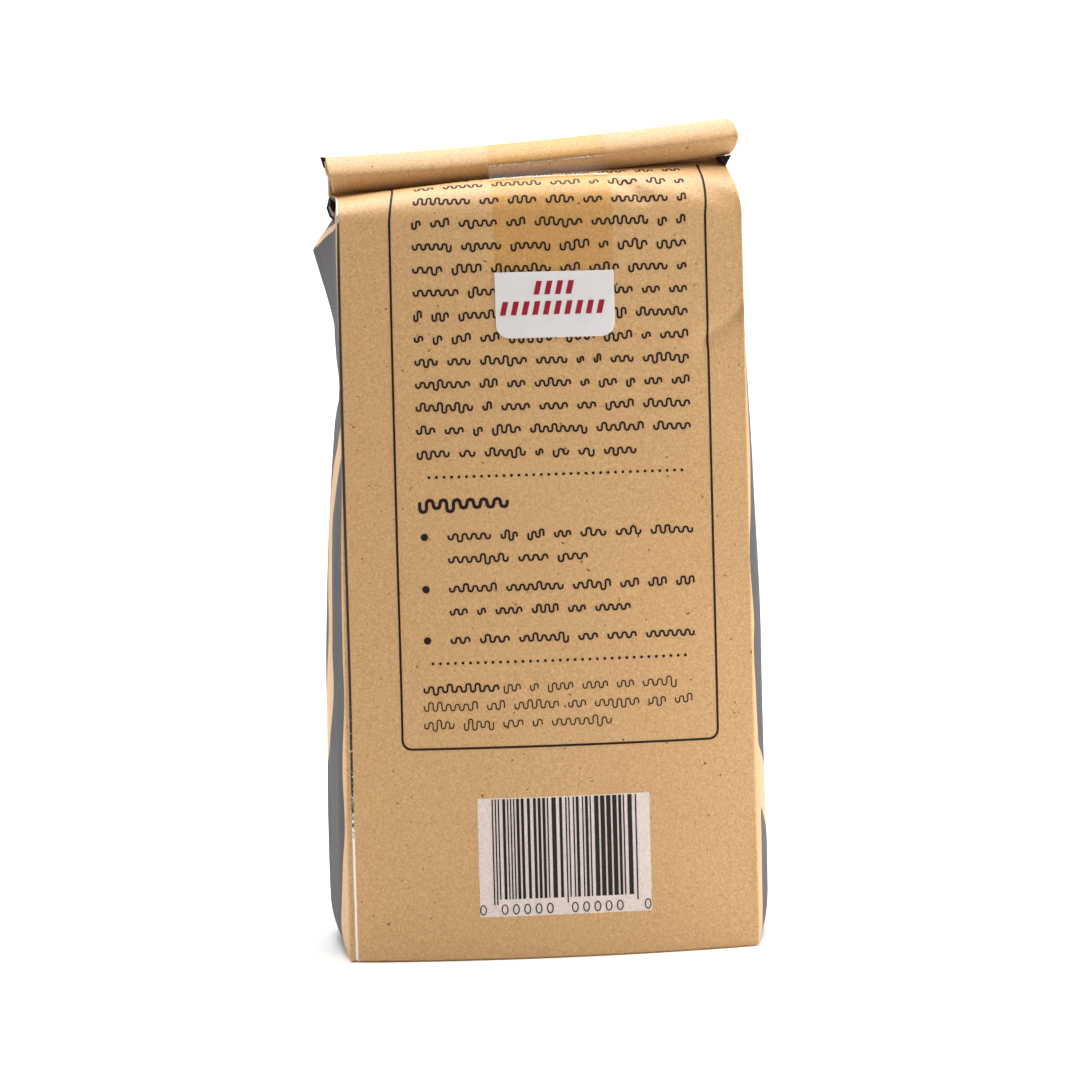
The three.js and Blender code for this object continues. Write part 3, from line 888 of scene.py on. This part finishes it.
def milky_film(tab):
    """The tab's white-backed polypropylene film: satin, and so thin that dark print shows through as grey."""
    material, tree, place = new_material("milky_polypropylene_film")
    cloud = add(tree, "TexNoise", {"Vector": place, "Scale": scale(TAB_CLOUD), "Detail": 3.0})
    shade = add(tree, "MapRange", {"Value": cloud, "To Min": 0.94, "To Max": 1.04})
    tinted = add(tree, "VectorMath", {0: tuple(tab), "Scale": shade}, operation="SCALE")
    body = add(tree, "BsdfPrincipled", {"Base Color": tinted, "Roughness": 0.35, "IOR": FILM_IOR})
    clear = add(tree, "BsdfTransparent", {"Color": opaque(linear(WHITE))})
    shader = add(tree, "MixShader", {0: TAB_COVER, 1: clear, 2: body})
    add(tree, "OutputMaterial", {"Surface": shader})
    return material


def painted_floor(rgb):
    """Smooth matt board, painted: nearly white, with the faintest mottle."""
    material, tree, place = new_material("matt_painted_board")
    cloud = add(tree, "TexNoise", {"Vector": place, "Scale": FLOOR_MOTTLES, "Detail": 3.0})
    shade = add(tree, "MapRange", {"Value": cloud, "To Min": 0.985, "To Max": 1.0})
    tinted = add(tree, "VectorMath", {0: tuple(rgb), "Scale": shade}, operation="SCALE")
    shader = add(tree, "BsdfPrincipled", {"Base Color": tinted, "Roughness": 0.8})
    add(tree, "OutputMaterial", {"Surface": shader})
    return material


# Laying thin marks on the sheet


class Patch:
    """A patch of sheet as rows of points, found by its place across and its height along the sheet."""

    def __init__(self, rows, across, start, drift=((0, 0), (1, 0))):
        self.drift = drift
        self.points = np.array(rows)
        self.across = np.array(across)
        steps = np.linalg.norm(np.diff(self.points, axis=0), axis=2)
        self.along = start + np.concatenate([np.zeros((1, len(across))), np.cumsum(steps, axis=0)])
        out = np.cross(np.gradient(self.points, axis=1), np.gradient(self.points, axis=0))
        self.normals = out / np.linalg.norm(out, axis=2, keepdims=True)

    def at(self, x, height, lift):
        """The point at a place on the sheet, lifted off it."""
        x += along(self.drift, height)
        column = float(np.interp(x, self.across, np.arange(len(self.across))))
        left = min(int(column), len(self.across) - 2)
        u = column - left
        heights = mix(self.along[:, left], self.along[:, left + 1], u)
        row = float(np.interp(height, heights, np.arange(len(heights))))
        low = min(int(row), len(heights) - 2)
        v = row - low

        def sample(values):
            lower = mix(values[low, left], values[low, left + 1], u)
            upper = mix(values[low + 1, left], values[low + 1, left + 1], u)
            return mix(lower, upper, v)

        return Vector(sample(self.points)) + Vector(sample(self.normals)) * lift


class Marks:
    """Thin marks laid on a patch, collected into one mesh."""

    CELL = 1.0  # no face is longer than this, so that marks follow the sheet

    def __init__(self, patch, lift):
        self.patch = patch
        self.lift = lift
        self.points = []
        self.faces = []

    def point(self, x, z):
        """Adds the point at a place on the patch and gives its number."""
        self.points.append(self.patch.at(x, z, self.lift))
        return len(self.points) - 1

    def quad(self, corners):
        """A four-sided field with corners (x, height) anticlockwise, in cells."""
        a, b, c, d = (Vector(corner) for corner in corners)
        columns = max(1, math.ceil(max((b - a).length, (c - d).length) / self.CELL))
        rows = max(1, math.ceil(max((d - a).length, (c - b).length) / self.CELL))
        sides = [(a.lerp(b, i / columns), d.lerp(c, i / columns)) for i in range(columns + 1)]
        grid = [[self.point(*low.lerp(high, j / rows)) for low, high in sides] for j in range(rows + 1)]
        for j in range(rows):
            for i in range(columns):
                self.faces.append((grid[j][i], grid[j][i + 1], grid[j + 1][i + 1], grid[j + 1][i]))

    def box(self, left, low, right, high):
        """An upright field."""
        self.quad(((left, low), (right, low), (right, high), (left, high)))

    def disc(self, x, z, radius, sides):
        """A round spot."""
        ring = [self.point(x + radius * math.cos(a), z + radius * math.sin(a)) for a in full_turn(sides)]
        self.faces.append(tuple(ring))

    def ring(self, x, z, half_width, half_height, stroke, sides=16):
        """An upright oval line."""
        angles = full_turn(sides)
        lines = []
        for inset in (stroke, 0):
            wide, high = half_width - inset, half_height - inset
            lines.append([self.point(x + wide * math.cos(a), z + high * math.sin(a)) for a in angles])
        inner, outer = lines
        for i in range(sides):
            j = (i + 1) % sides
            self.faces.append((outer[i], outer[j], inner[j], inner[i]))

    def stroke(self, line, width):
        """A line of even width through points (x, height)."""
        line = [Vector(p) for p in spaced(line, self.CELL)]
        pairs = []
        for i, p in enumerate(line):
            before = (p - line[i - 1]).normalized() if i else None
            after = (line[i + 1] - p).normalized() if i + 1 < len(line) else None
            run = ((before or after) + (after or before)).normalized()
            side = Vector((-run.y, run.x))
            straight = after if after is not None else before
            side = side * (width / 2 / max(MITRE_LIMIT, side.dot(Vector((-straight.y, straight.x)))))
            pairs.append((self.point(*(p - side)), self.point(*(p + side))))
        for (a, b), (c, d) in zip(pairs, pairs[1:]):
            self.faces.append((a, c, d, b))

    def build(self, scene, name, thickness, material):
        """One closed thin mesh of all marks, which rides on the bag."""
        obj = new_mesh(scene, name, self.points, self.faces)
        solid = obj.modifiers.new("thickness", "SOLIDIFY")
        solid.thickness = thickness * MM
        solid.offset = -1
        obj.data.materials.append(material)
        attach(obj, "root")
        return obj


def full_turn(sides):
    """The angles of a round mark's corners."""
    return [2 * math.pi * i / sides for i in range(sides)]


def spaced(line, cell):
    """The same line with points no further apart than a cell."""
    out = [line[0]]
    for a, b in zip(line, line[1:]):
        count = max(1, math.ceil(math.dist(a, b) / cell))
        out += [(mix(a[0], b[0], i / count), mix(a[1], b[1], i / count)) for i in range(1, count + 1)]
    return out


def back_patch(shape):
    """The back panel from its bottom edge to the foot of the roll."""
    grid, _ = sheet_grid(shape)
    rows = grid[: BODY_STEPS + SHOULDER_STEPS, : PANEL_STEPS + 1]
    across = [mix(-shape.half, shape.half, share) for share in PANEL_SHARES]
    return Patch(rows, across, grid[0, PANEL_MIDDLE, 2], PRINT_DRIFT)


# Operators


class COFFEEBAG_OT_bag(bpy.types.Operator):
    """Builds the folded kraft bag with its rolled top"""

    bl_idname = "coffee_bag.bag"
    bl_label = "Folded bag"
    bl_options = {"REGISTER", "UNDO"}

    def execute(self, context):
        bag = context.scene.coffee_bag
        grid, _ = sheet_grid(BagShape(bag))
        bottom = [[(x * share, y * share, z) for x, y, _ in grid[0]] for share, z in BOTTOM_RINGS]
        rows = np.concatenate([np.array(bottom), grid])
        ink = np.concatenate([np.full((len(bottom), LOOP), -INK_LIMIT), ink_reach(grid)])
        # How silvery the raw edge is at each height, as a painted glint on its foil
        bare = [along(FOIL_AND_GLINT, z) for z in rows[:, :, 2].ravel()]
        faces, runs = [], []
        for row in range(len(rows) - 1):
            for i in range(LOOP):
                a, b = row * LOOP + i, row * LOOP + (i + 1) % LOOP
                faces.append((a, b, b + LOOP, a + LOOP))
                runs.append(RUN_OF_STEP[i])
        last = (len(rows) - 1) * LOOP
        faces += [tuple(range(LOOP))[::-1], tuple(range(last, last + LOOP))]
        runs += ["back", "back"]
        obj = new_mesh(context.scene, "kraft_bag", rows.reshape(-1, 3), faces)
        obj.data.materials.append(kraft_laminate(bag))
        obj.data.materials.append(raw_edge())
        for face, run in zip(obj.data.polygons, runs):
            face.use_smooth = True
            face.material_index = 1 if run == "raw edge" else 0
        for name, values in (("ink", ink.ravel()), ("bare", bare)):
            obj.data.attributes.new(name, "FLOAT", "POINT").data.foreach_set("value", values)
        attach(obj, "root")
        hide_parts("bag")
        return {"FINISHED"}


class COFFEEBAG_OT_folds(bpy.types.Operator):
    """Adds the dark ends of the tucked gussets that show beside the roll and a notch in the roll's end:
    painted shade over black ink
    """

    bl_idname = "coffee_bag.folds"
    bl_label = "Gusset folds"
    bl_options = {"REGISTER", "UNDO"}

    def execute(self, context):
        points, faces, pale = [], [], []
        for lines, pale_row in ((LEFT_LIP, None), (LEFT_PLIES, PALE_PLY)):
            count = len(lines[0][1])
            for row in range(len(lines) - 1):
                for i in range(count - 1):
                    a = len(points) + row * count + i
                    if row == pale_row:
                        pale.append(len(faces))
                    faces.append((a, a + 1, a + 1 + count, a + count))
            points += [Vector((x, y, z)) for y, line in lines for x, z in line]
        for outline, front, back in (RIGHT_FOLD, ROLL_NOTCH):
            start, count = len(points), len(outline)
            points += [Vector((x, y, z)) for y in (front, back) for x, z in outline]
            faces.append(tuple(range(start, start + count)))
            for i in range(count):
                a, b = start + i, start + (i + 1) % count
                faces.append((b, a, a + count, b + count))
        obj = new_mesh(context.scene, "gusset_folds", points, faces)
        # The folds' dark faces are painted shade over black ink
        obj.data.materials.append(printed_ink("black_flexo_ink_in_folds", linear(FOLD_SHADE), 0.8))
        obj.data.materials.append(printed_ink("grey_laminate_in_folds", linear(FOLD_PALE), 0.5))
        for i, face in enumerate(obj.data.polygons):
            face.material_index = 1 if i in pale else 0
        solid = obj.modifiers.new("thickness", "SOLIDIFY")
        solid.thickness = LAP_THICKNESS / 2 * MM
        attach(obj, "root")
        return {"FINISHED"}


class COFFEEBAG_OT_print(bpy.types.Operator):
    """Prints the back panel: a frame, rows of plain marks, dotted rules and bullets"""

    bl_idname = "coffee_bag.print"
    bl_label = "Back panel print"
    bl_options = {"REGISTER", "UNDO"}

    def execute(self, context):
        settings = context.scene.coffee_print
        marks = Marks(back_patch(BagShape(context.scene.coffee_bag)), PRINT_LIFT)
        left, right = settings.left / MM, settings.right / MM
        pitch, stroke = settings.row_pitch / MM, settings.stroke / MM
        draw = random.Random(settings.seed)
        frame_line(marks)
        for x0, x1, z in DOTTED_RULES:
            for i in range(RULE_DOTS):
                marks.disc(mix(x0, x1, i / (RULE_DOTS - 1)), z, DOT_RADIUS, DOT_SIDES)
        for row in range(TEXT_ROWS):
            end = right if row else right - LOWEST_ROW_GAP
            word_row(marks, draw, left, end, LOWEST_ROW + row * pitch, WORD_HEIGHT, stroke, ROW_TILT)
        end = left + HEADING_WIDTH
        word(marks, draw, left, end, HEADING_BASE, HEADING_HEIGHT, HEADING_STROKE, HEADING_PITCH)
        for base, gaps in BULLETS:
            marks.disc(BULLET_X, base + BULLET_RISE, BULLET_RADIUS, BULLET_SIDES)
            for i, gap in enumerate(gaps):
                word_row(marks, draw, BULLET_INDENT, right - gap, base - i * pitch, WORD_HEIGHT, stroke)
        word(marks, draw, left, left + LEAD_WIDTH, SMALL_ROWS[0][0], SMALL_HEIGHT, LEAD_STROKE, LEAD_PITCH)
        for base, indent, gap in SMALL_ROWS:
            word_row(marks, draw, left + indent, right - gap, base, SMALL_HEIGHT, SMALL_STROKE)
        ink = printed_ink("black_flexo_ink", settings.ink, 0.7)
        marks.build(context.scene, "back_panel_print", PRINT_THICKNESS, ink)
        return {"FINISHED"}


def frame_line(marks):
    """The thin line round the print, with round lower corners, that runs up under the roll."""
    line = [(FRAME_LEFT, FRAME_HIGH)]
    centres = (FRAME_LEFT + FRAME_RADIUS, FRAME_RIGHT - FRAME_RADIUS)
    for centre, start in zip(centres, (math.pi, 1.5 * math.pi)):
        for i in range(CORNER_STEPS + 1):
            a = start + math.pi / 2 * i / CORNER_STEPS
            height = FRAME_LOW + FRAME_RADIUS + FRAME_RADIUS * math.sin(a)
            line.append((centre + FRAME_RADIUS * math.cos(a), height))
    line.append((FRAME_RIGHT, FRAME_HIGH))
    marks.stroke(line, FRAME_STROKE)


def word(marks, draw, start, end, base, height, stroke, pitch, tilt=0.0):
    """One word's place as a wavy line, whose turns stand at the word's height or reach past it."""
    count = max(2, round((end - start - stroke) / pitch))
    step = (end - start - stroke) / count
    low, high = base + stroke / 2, base + height - stroke / 2
    reach = step / 2
    line = [(start + stroke / 2, mix(low, high, WORD_ENDS))]
    for i in range(count):
        x = start + stroke / 2 + (i + 0.5) * step
        top = i % 2 == 1
        level = (high if top else low) + height * draw.choice(PAST_HEAD if top else PAST_FOOT)
        foot = level + (-reach if top else reach)
        between = mix(foot, level, TURN_UP)
        line += [(x - reach, foot), (x - reach * TURN_OUT, between), (x, level)]
        line += [(x + reach * TURN_OUT, between), (x + reach, foot)]
    line.append((end - stroke / 2, mix(low, high, WORD_ENDS if count % 2 else 1 - WORD_ENDS)))
    marks.stroke([(x, z + tilt * x) for x, z in line], stroke)


def word_row(marks, draw, start, end, base, height, stroke, tilt=0.0):
    """A full row of word places of differing lengths with even gaps."""
    lengths = []
    while sum(lengths) + WORD_GAP * len(lengths) < end - start - ROW_SLACK:
        lengths.append(WORD_UNIT * draw.choice(WORD_UNITS))
    stretch = (end - start - WORD_GAP * (len(lengths) - 1)) / sum(lengths)
    x = start
    for length in lengths:
        word(marks, draw, x, x + length * stretch, base, height, stroke, TURN_PITCH, tilt)
        x += length * stretch + WORD_GAP


class COFFEEBAG_OT_bar_code(bpy.types.Operator):
    """Prints the bar code's plain field and a random run of bars"""

    bl_idname = "coffee_bag.bar_code"
    bl_label = "Bar code"
    bl_options = {"REGISTER", "UNDO"}

    def execute(self, context):
        settings = context.scene.coffee_print
        patch = back_patch(BagShape(context.scene.coffee_bag))
        field = Marks(patch, FIELD_LIFT)
        field.box(*CODE_FIELD)
        ink = printed_ink("white_flexo_ink", settings.field, 0.5)
        field.build(context.scene, "bar_code_field", PRINT_THICKNESS, ink)
        bars = Marks(patch, BARS_LIFT)
        draw = random.Random(settings.seed + 1)
        at = 0
        while at < MODULES:
            guard = any(first <= at < end for first, end in GUARDS)
            wide = min(1 if guard else draw.choice(BAR_WIDTHS), MODULES - at)
            left = BARS_LEFT + at * MODULE
            bars.box(left, GUARDS_LOW if guard else BARS_LOW, left + wide * MODULE - BAR_TRIM, BARS_HIGH)
            at += wide + (1 if guard else draw.choice(SPACE_WIDTHS))
        for x in oval_places():
            bars.ring(x, **OVAL)
        ink = printed_ink("black_bar_ink", linear(BAR_INK), 0.5)
        bars.build(context.scene, "bar_code_bars", PRINT_THICKNESS, ink)
        return {"FINISHED"}


def oval_places():
    """Places of the plain ovals under the bars: one at each side and two groups between the guards."""
    left, right = OUTER_OVALS
    places = [BARS_LEFT + MODULE * (group + OVAL_PITCH * i) for group in OVAL_GROUPS for i in range(OVALS)]
    return [BARS_LEFT - left, *places, BARS_LEFT + MODULES * MODULE + right]


class COFFEEBAG_OT_tape(bpy.types.Operator):
    """Lays the clear strip over the roll, with its milky tab and its dashes"""

    bl_idname = "coffee_bag.tape"
    bl_label = "Resealable tape"
    bl_options = {"REGISTER", "UNDO"}

    def execute(self, context):
        scene, tape = context.scene, context.scene.coffee_tape
        grid, _ = sheet_grid(BagShape(scene.coffee_bag))
        centre, width, corner = tape.place / MM, tape.width / MM, tape.corner / MM
        across = [centre + width * (i / TAPE_COLUMNS - 0.5) for i in range(TAPE_COLUMNS + 1)]
        taut = [taut_line(*outer_line(grid, x, tape.back_end / MM, tape.front_end / MM)) for x in across]
        columns = [even_points(stuck + over, TAPE_STEPS) for stuck, over in taut]
        rows = [[(x, *line[step]) for x, line in zip(across, columns)] for step in range(TAPE_STEPS + 1)]
        patch = Patch(rows, across, 0)
        film = Marks(patch, FILM_LIFT)
        strip(film, centre, width, corner, float(patch.along[-1].min()))
        obj = film.build(scene, "tape_film", FILM_THICKNESS, clear_film())
        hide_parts("resealable_tape")
        tab = Marks(patch, TAB_LIFT)
        strip(tab, centre, width, corner, tape.tab_length / MM)
        obj = tab.build(scene, "tape_tab", TAB_THICKNESS, milky_film(tape.tab))
        creases = Marks(patch, CREASE_LIFT)
        # The film is creased where it leaves the back panel and again where it meets the roll, and a painted
        # glint lies along each crease
        creased = [(line_length(stuck), line_length(stuck + over[:1])) for stuck, over in taut]
        for x0, x1, lefts, rights in zip(across, across[1:], creased, creased[1:]):
            for left, right in zip(lefts, rights):
                lower = ((x0, left - CREASE_HALF_WIDTH), (x1, right - CREASE_HALF_WIDTH))
                upper = ((x1, right + CREASE_HALF_WIDTH), (x0, left + CREASE_HALF_WIDTH))
                creases.quad(lower + upper)
        creases.build(scene, "tape_creases", CREASE_THICKNESS, painted_crease_glint())
        dashes = Marks(patch, DASH_LIFT)
        for start, count, low in DASH_ROWS:
            for i in range(count):
                left = centre + start + DASH_PITCH * i
                right, high = left + DASH_WIDTH, low + DASH_HEIGHT
                upper = ((right + DASH_SLANT, high), (left + DASH_SLANT, high))
                dashes.quad(((left, low), (right, low)) + upper)
        dashes.build(scene, "tape_tab_dashes", DASH_THICKNESS, printed_ink("red_flexo_ink", tape.mark, 0.4))
        return {"FINISHED"}


def strip(marks, centre, width, corner, high):
    """A strip from the patch's foot up to a height, with two round lower corners, in rows."""
    turns = [math.pi / 2 * i / STRIP_CORNER_STEPS for i in range(STRIP_CORNER_STEPS)]
    count = math.ceil((high - corner) / STRIP_CELL)
    heights = [corner * (1 - math.cos(a)) for a in turns]
    heights += [mix(corner, high, i / count) for i in range(count + 1)]
    rows = []
    for z in heights:
        into = max(0, corner - z)
        half = width / 2 - (corner - math.sqrt(max(0, corner**2 - into**2)))
        sides = range(TAPE_COLUMNS + 1)
        rows.append([marks.point(centre + half * (2 * i / TAPE_COLUMNS - 1), z) for i in sides])
    for lower, upper in zip(rows, rows[1:]):
        for i in range(TAPE_COLUMNS):
            marks.faces.append((lower[i], lower[i + 1], upper[i + 1], upper[i]))


def outer_line(grid, x, back_end, front_end):
    """Points (y, z) of the outline at one place across: the back panel's, the roll's and the front's."""
    share = np.interp(x, grid[0, : PANEL_STEPS + 1, 0], PANEL_SHARES)
    column = float(np.interp(share, PANEL_SHARES, np.arange(PANEL_STEPS + 1)))
    left = int(column)

    def sample(row, start, sign):
        a, b = grid[row, start + sign * left], grid[row, start + sign * (left + 1)]
        return tuple(mix(a, b, column - left)[1:])

    shoulder = BODY_STEPS + SHOULDER_STEPS
    front_start = PANEL_STEPS + 2 * GUSSET_STEPS + PANEL_STEPS
    back = [sample(row, 0, 1) for row in range(shoulder) if grid[row, 0, 2] > back_end]
    roll = [sample(shoulder + NECK_STEPS + i, front_start, -1) for i in range(STEPS_A_TURN)]
    front = [sample(row, front_start, -1) for row in range(shoulder) if grid[row, front_start, 2] > front_end]
    return back, roll, front


def taut_line(back, roll, front):
    """The tape's line in two parts: stuck up the back panel, and from the roll's face to the front panel."""
    edge = min(roll)
    stuck = [p for p in back if p[0] < edge[0] - TAPE_BRIDGE]
    face = [p for p in roll if p[0] < ROLL_CENTRE_Y and edge[1] - TAPE_GRIP < p[1] < edge[1]]
    upper = []
    for p in sorted(roll + front):
        while len(upper) > 1 and turn(upper[-2], upper[-1], p) >= 0:
            upper.pop()
        upper.append(p)
    lower = [p for p in front if p[1] < upper[-1][1] and p[0] > 0]
    over = sorted(face, key=by_height) + upper + sorted(lower, key=by_height)[::-1]
    return sorted(stuck, key=by_height), over


def by_height(point):
    """Sorts points (y, z) by their height."""
    return point[1]


def line_length(line):
    """The length of a line of points."""
    return sum(math.dist(a, b) for a, b in zip(line, line[1:]))


def turn(a, b, c):
    """Above 0 where the way from a over b to c turns left, and below 0 where it turns right."""
    return (b[0] - a[0]) * (c[1] - a[1]) - (b[1] - a[1]) * (c[0] - a[0])


def even_points(line, count):
    """Points at equal steps along a line."""
    points = np.array(line)
    lengths = np.concatenate([[0], np.cumsum(np.linalg.norm(np.diff(points, axis=0), axis=1))])
    at = np.linspace(0, lengths[-1], count + 1)
    return list(zip(np.interp(at, lengths, points[:, 0]), np.interp(at, lengths, points[:, 1])))


class COFFEEBAG_OT_studio(bpy.types.Operator):
    """Sets the camera, the soft lights and the plain floor"""

    bl_idname = "coffee_bag.studio"
    bl_label = "Studio"
    bl_options = {"REGISTER", "UNDO"}

    def execute(self, context):
        scene, studio = context.scene, context.scene.coffee_studio
        add_camera(scene, studio)
        add_sweep(scene, studio)
        for name, place, target, width in SOFTBOXES:
            add_softbox(scene, name + "_softbox", place, target, width, getattr(studio, name + "_power"))
        world = bpy.data.worlds.new("white_tent")
        world.use_nodes = True
        background = world.node_tree.nodes["Background"]
        background.inputs["Color"].default_value = opaque(linear(WHITE))
        background.inputs["Strength"].default_value = studio.ambient
        scene.world = world
        scene.view_settings.view_transform = "Standard"
        return {"FINISHED"}


def add_camera(scene, studio):
    """The camera at the photo's angle, leaning a little."""
    a, e = studio.azimuth, studio.elevation
    back = Vector((math.sin(a) * math.cos(e), -math.cos(a) * math.cos(e), math.sin(e)))
    right = Vector((0, 0, 1)).cross(back).normalized()
    up = back.cross(right)
    c, s = math.cos(studio.lean), math.sin(studio.lean)
    data = bpy.data.cameras.new("camera")
    data.sensor_width = SENSOR_WIDTH
    data.lens = studio.lens
    data.clip_start, data.clip_end = CLIP_NEAR, CLIP_FAR
    camera = bpy.data.objects.new("camera", data)
    scene.collection.objects.link(camera)
    rotation = Matrix((right * c - up * s, right * s + up * c, back)).transposed().to_4x4()
    camera.matrix_world = Matrix.Translation(Vector(CAMERA_TARGET) * MM + back * studio.distance) @ rotation
    scene.camera = camera


def add_sweep(scene, studio):
    """The floor and the backdrop that it curves up into behind the bag."""
    profile = [(mix(-FLOOR_HALF, FLOOR_BACK, i / FLOOR_ROWS), 0) for i in range(FLOOR_ROWS + 1)]
    for i in range(1, SWEEP_ROWS + 1):
        a = math.pi / 2 * i / SWEEP_ROWS
        profile.append((FLOOR_BACK + SWEEP_RADIUS * math.sin(a), SWEEP_RADIUS * (1 - math.cos(a))))
    wall = FLOOR_BACK + SWEEP_RADIUS
    climb = [i / BACKDROP_ROWS for i in range(1, BACKDROP_ROWS + 1)]
    profile += [(wall, mix(SWEEP_RADIUS, BACKDROP_TOP, share)) for share in climb]
    shares = [i / (FLOOR_COLUMNS - 1) for i in range(FLOOR_COLUMNS)]
    points = [(mix(-FLOOR_HALF, FLOOR_HALF, share), y, z) for y, z in profile for share in shares]
    faces = [
        (a, a + 1, a + 1 + FLOOR_COLUMNS, a + FLOOR_COLUMNS)
        for row in range(len(profile) - 1)
        for a in range(row * FLOOR_COLUMNS, (row + 1) * FLOOR_COLUMNS - 1)
    ]
    sweep = new_mesh(scene, "floor", points, faces)
    for face in sweep.data.polygons:
        face.use_smooth = True
    sweep.data.materials.append(painted_floor(studio.floor))


def add_softbox(scene, name, place, target, width, power):
    """A square soft light that faces a point."""
    data = bpy.data.lights.new(name, "AREA")
    data.shape = "SQUARE"
    data.size = width * MM
    data.energy = power
    light = bpy.data.objects.new(name, data)
    scene.collection.objects.link(light)
    light.location = Vector(place) * MM
    light.rotation_mode = "QUATERNION"
    light.rotation_quaternion = (Vector(target) - Vector(place)).to_track_quat("-Z", "Y")


class COFFEEBAG_PT_builder(bpy.types.Panel):
    """Lists the coffee bag's operators"""

    bl_label = "Coffee bag"
    bl_idname = "COFFEEBAG_PT_builder"
    bl_space_type = "VIEW_3D"
    bl_region_type = "UI"
    bl_category = "Coffee bag"

    def draw(self, context):
        for operator in OPERATORS:
            self.layout.operator(operator.bl_idname)


OPERATORS = (
    COFFEEBAG_OT_bag,
    COFFEEBAG_OT_folds,
    COFFEEBAG_OT_print,
    COFFEEBAG_OT_bar_code,
    COFFEEBAG_OT_tape,
    COFFEEBAG_OT_studio,
)
SETTINGS = {
    "coffee_bag": BagSettings,
    "coffee_print": PrintSettings,
    "coffee_tape": TapeSettings,
    "coffee_studio": StudioSettings,
}


def register():
    """Adds the settings, the operators and the panel."""
    for name, group in SETTINGS.items():
        bpy.utils.register_class(group)
        setattr(bpy.types.Scene, name, PointerProperty(type=group))
    for operator in OPERATORS:
        bpy.utils.register_class(operator)
    bpy.utils.register_class(COFFEEBAG_PT_builder)


def unregister():
    """Takes away what register adds."""
    bpy.utils.unregister_class(COFFEEBAG_PT_builder)
    for operator in reversed(OPERATORS):
        bpy.utils.unregister_class(operator)
    for name, group in SETTINGS.items():
        delattr(bpy.types.Scene, name)
        bpy.utils.unregister_class(group)


def main():
    """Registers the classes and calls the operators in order."""
    register()
    bpy.ops.coffee_bag.bag()
    bpy.ops.coffee_bag.folds()
    bpy.ops.coffee_bag.print()
    bpy.ops.coffee_bag.bar_code()
    bpy.ops.coffee_bag.tape()
    bpy.ops.coffee_bag.studio()


if __name__ == "__main__":
    main()
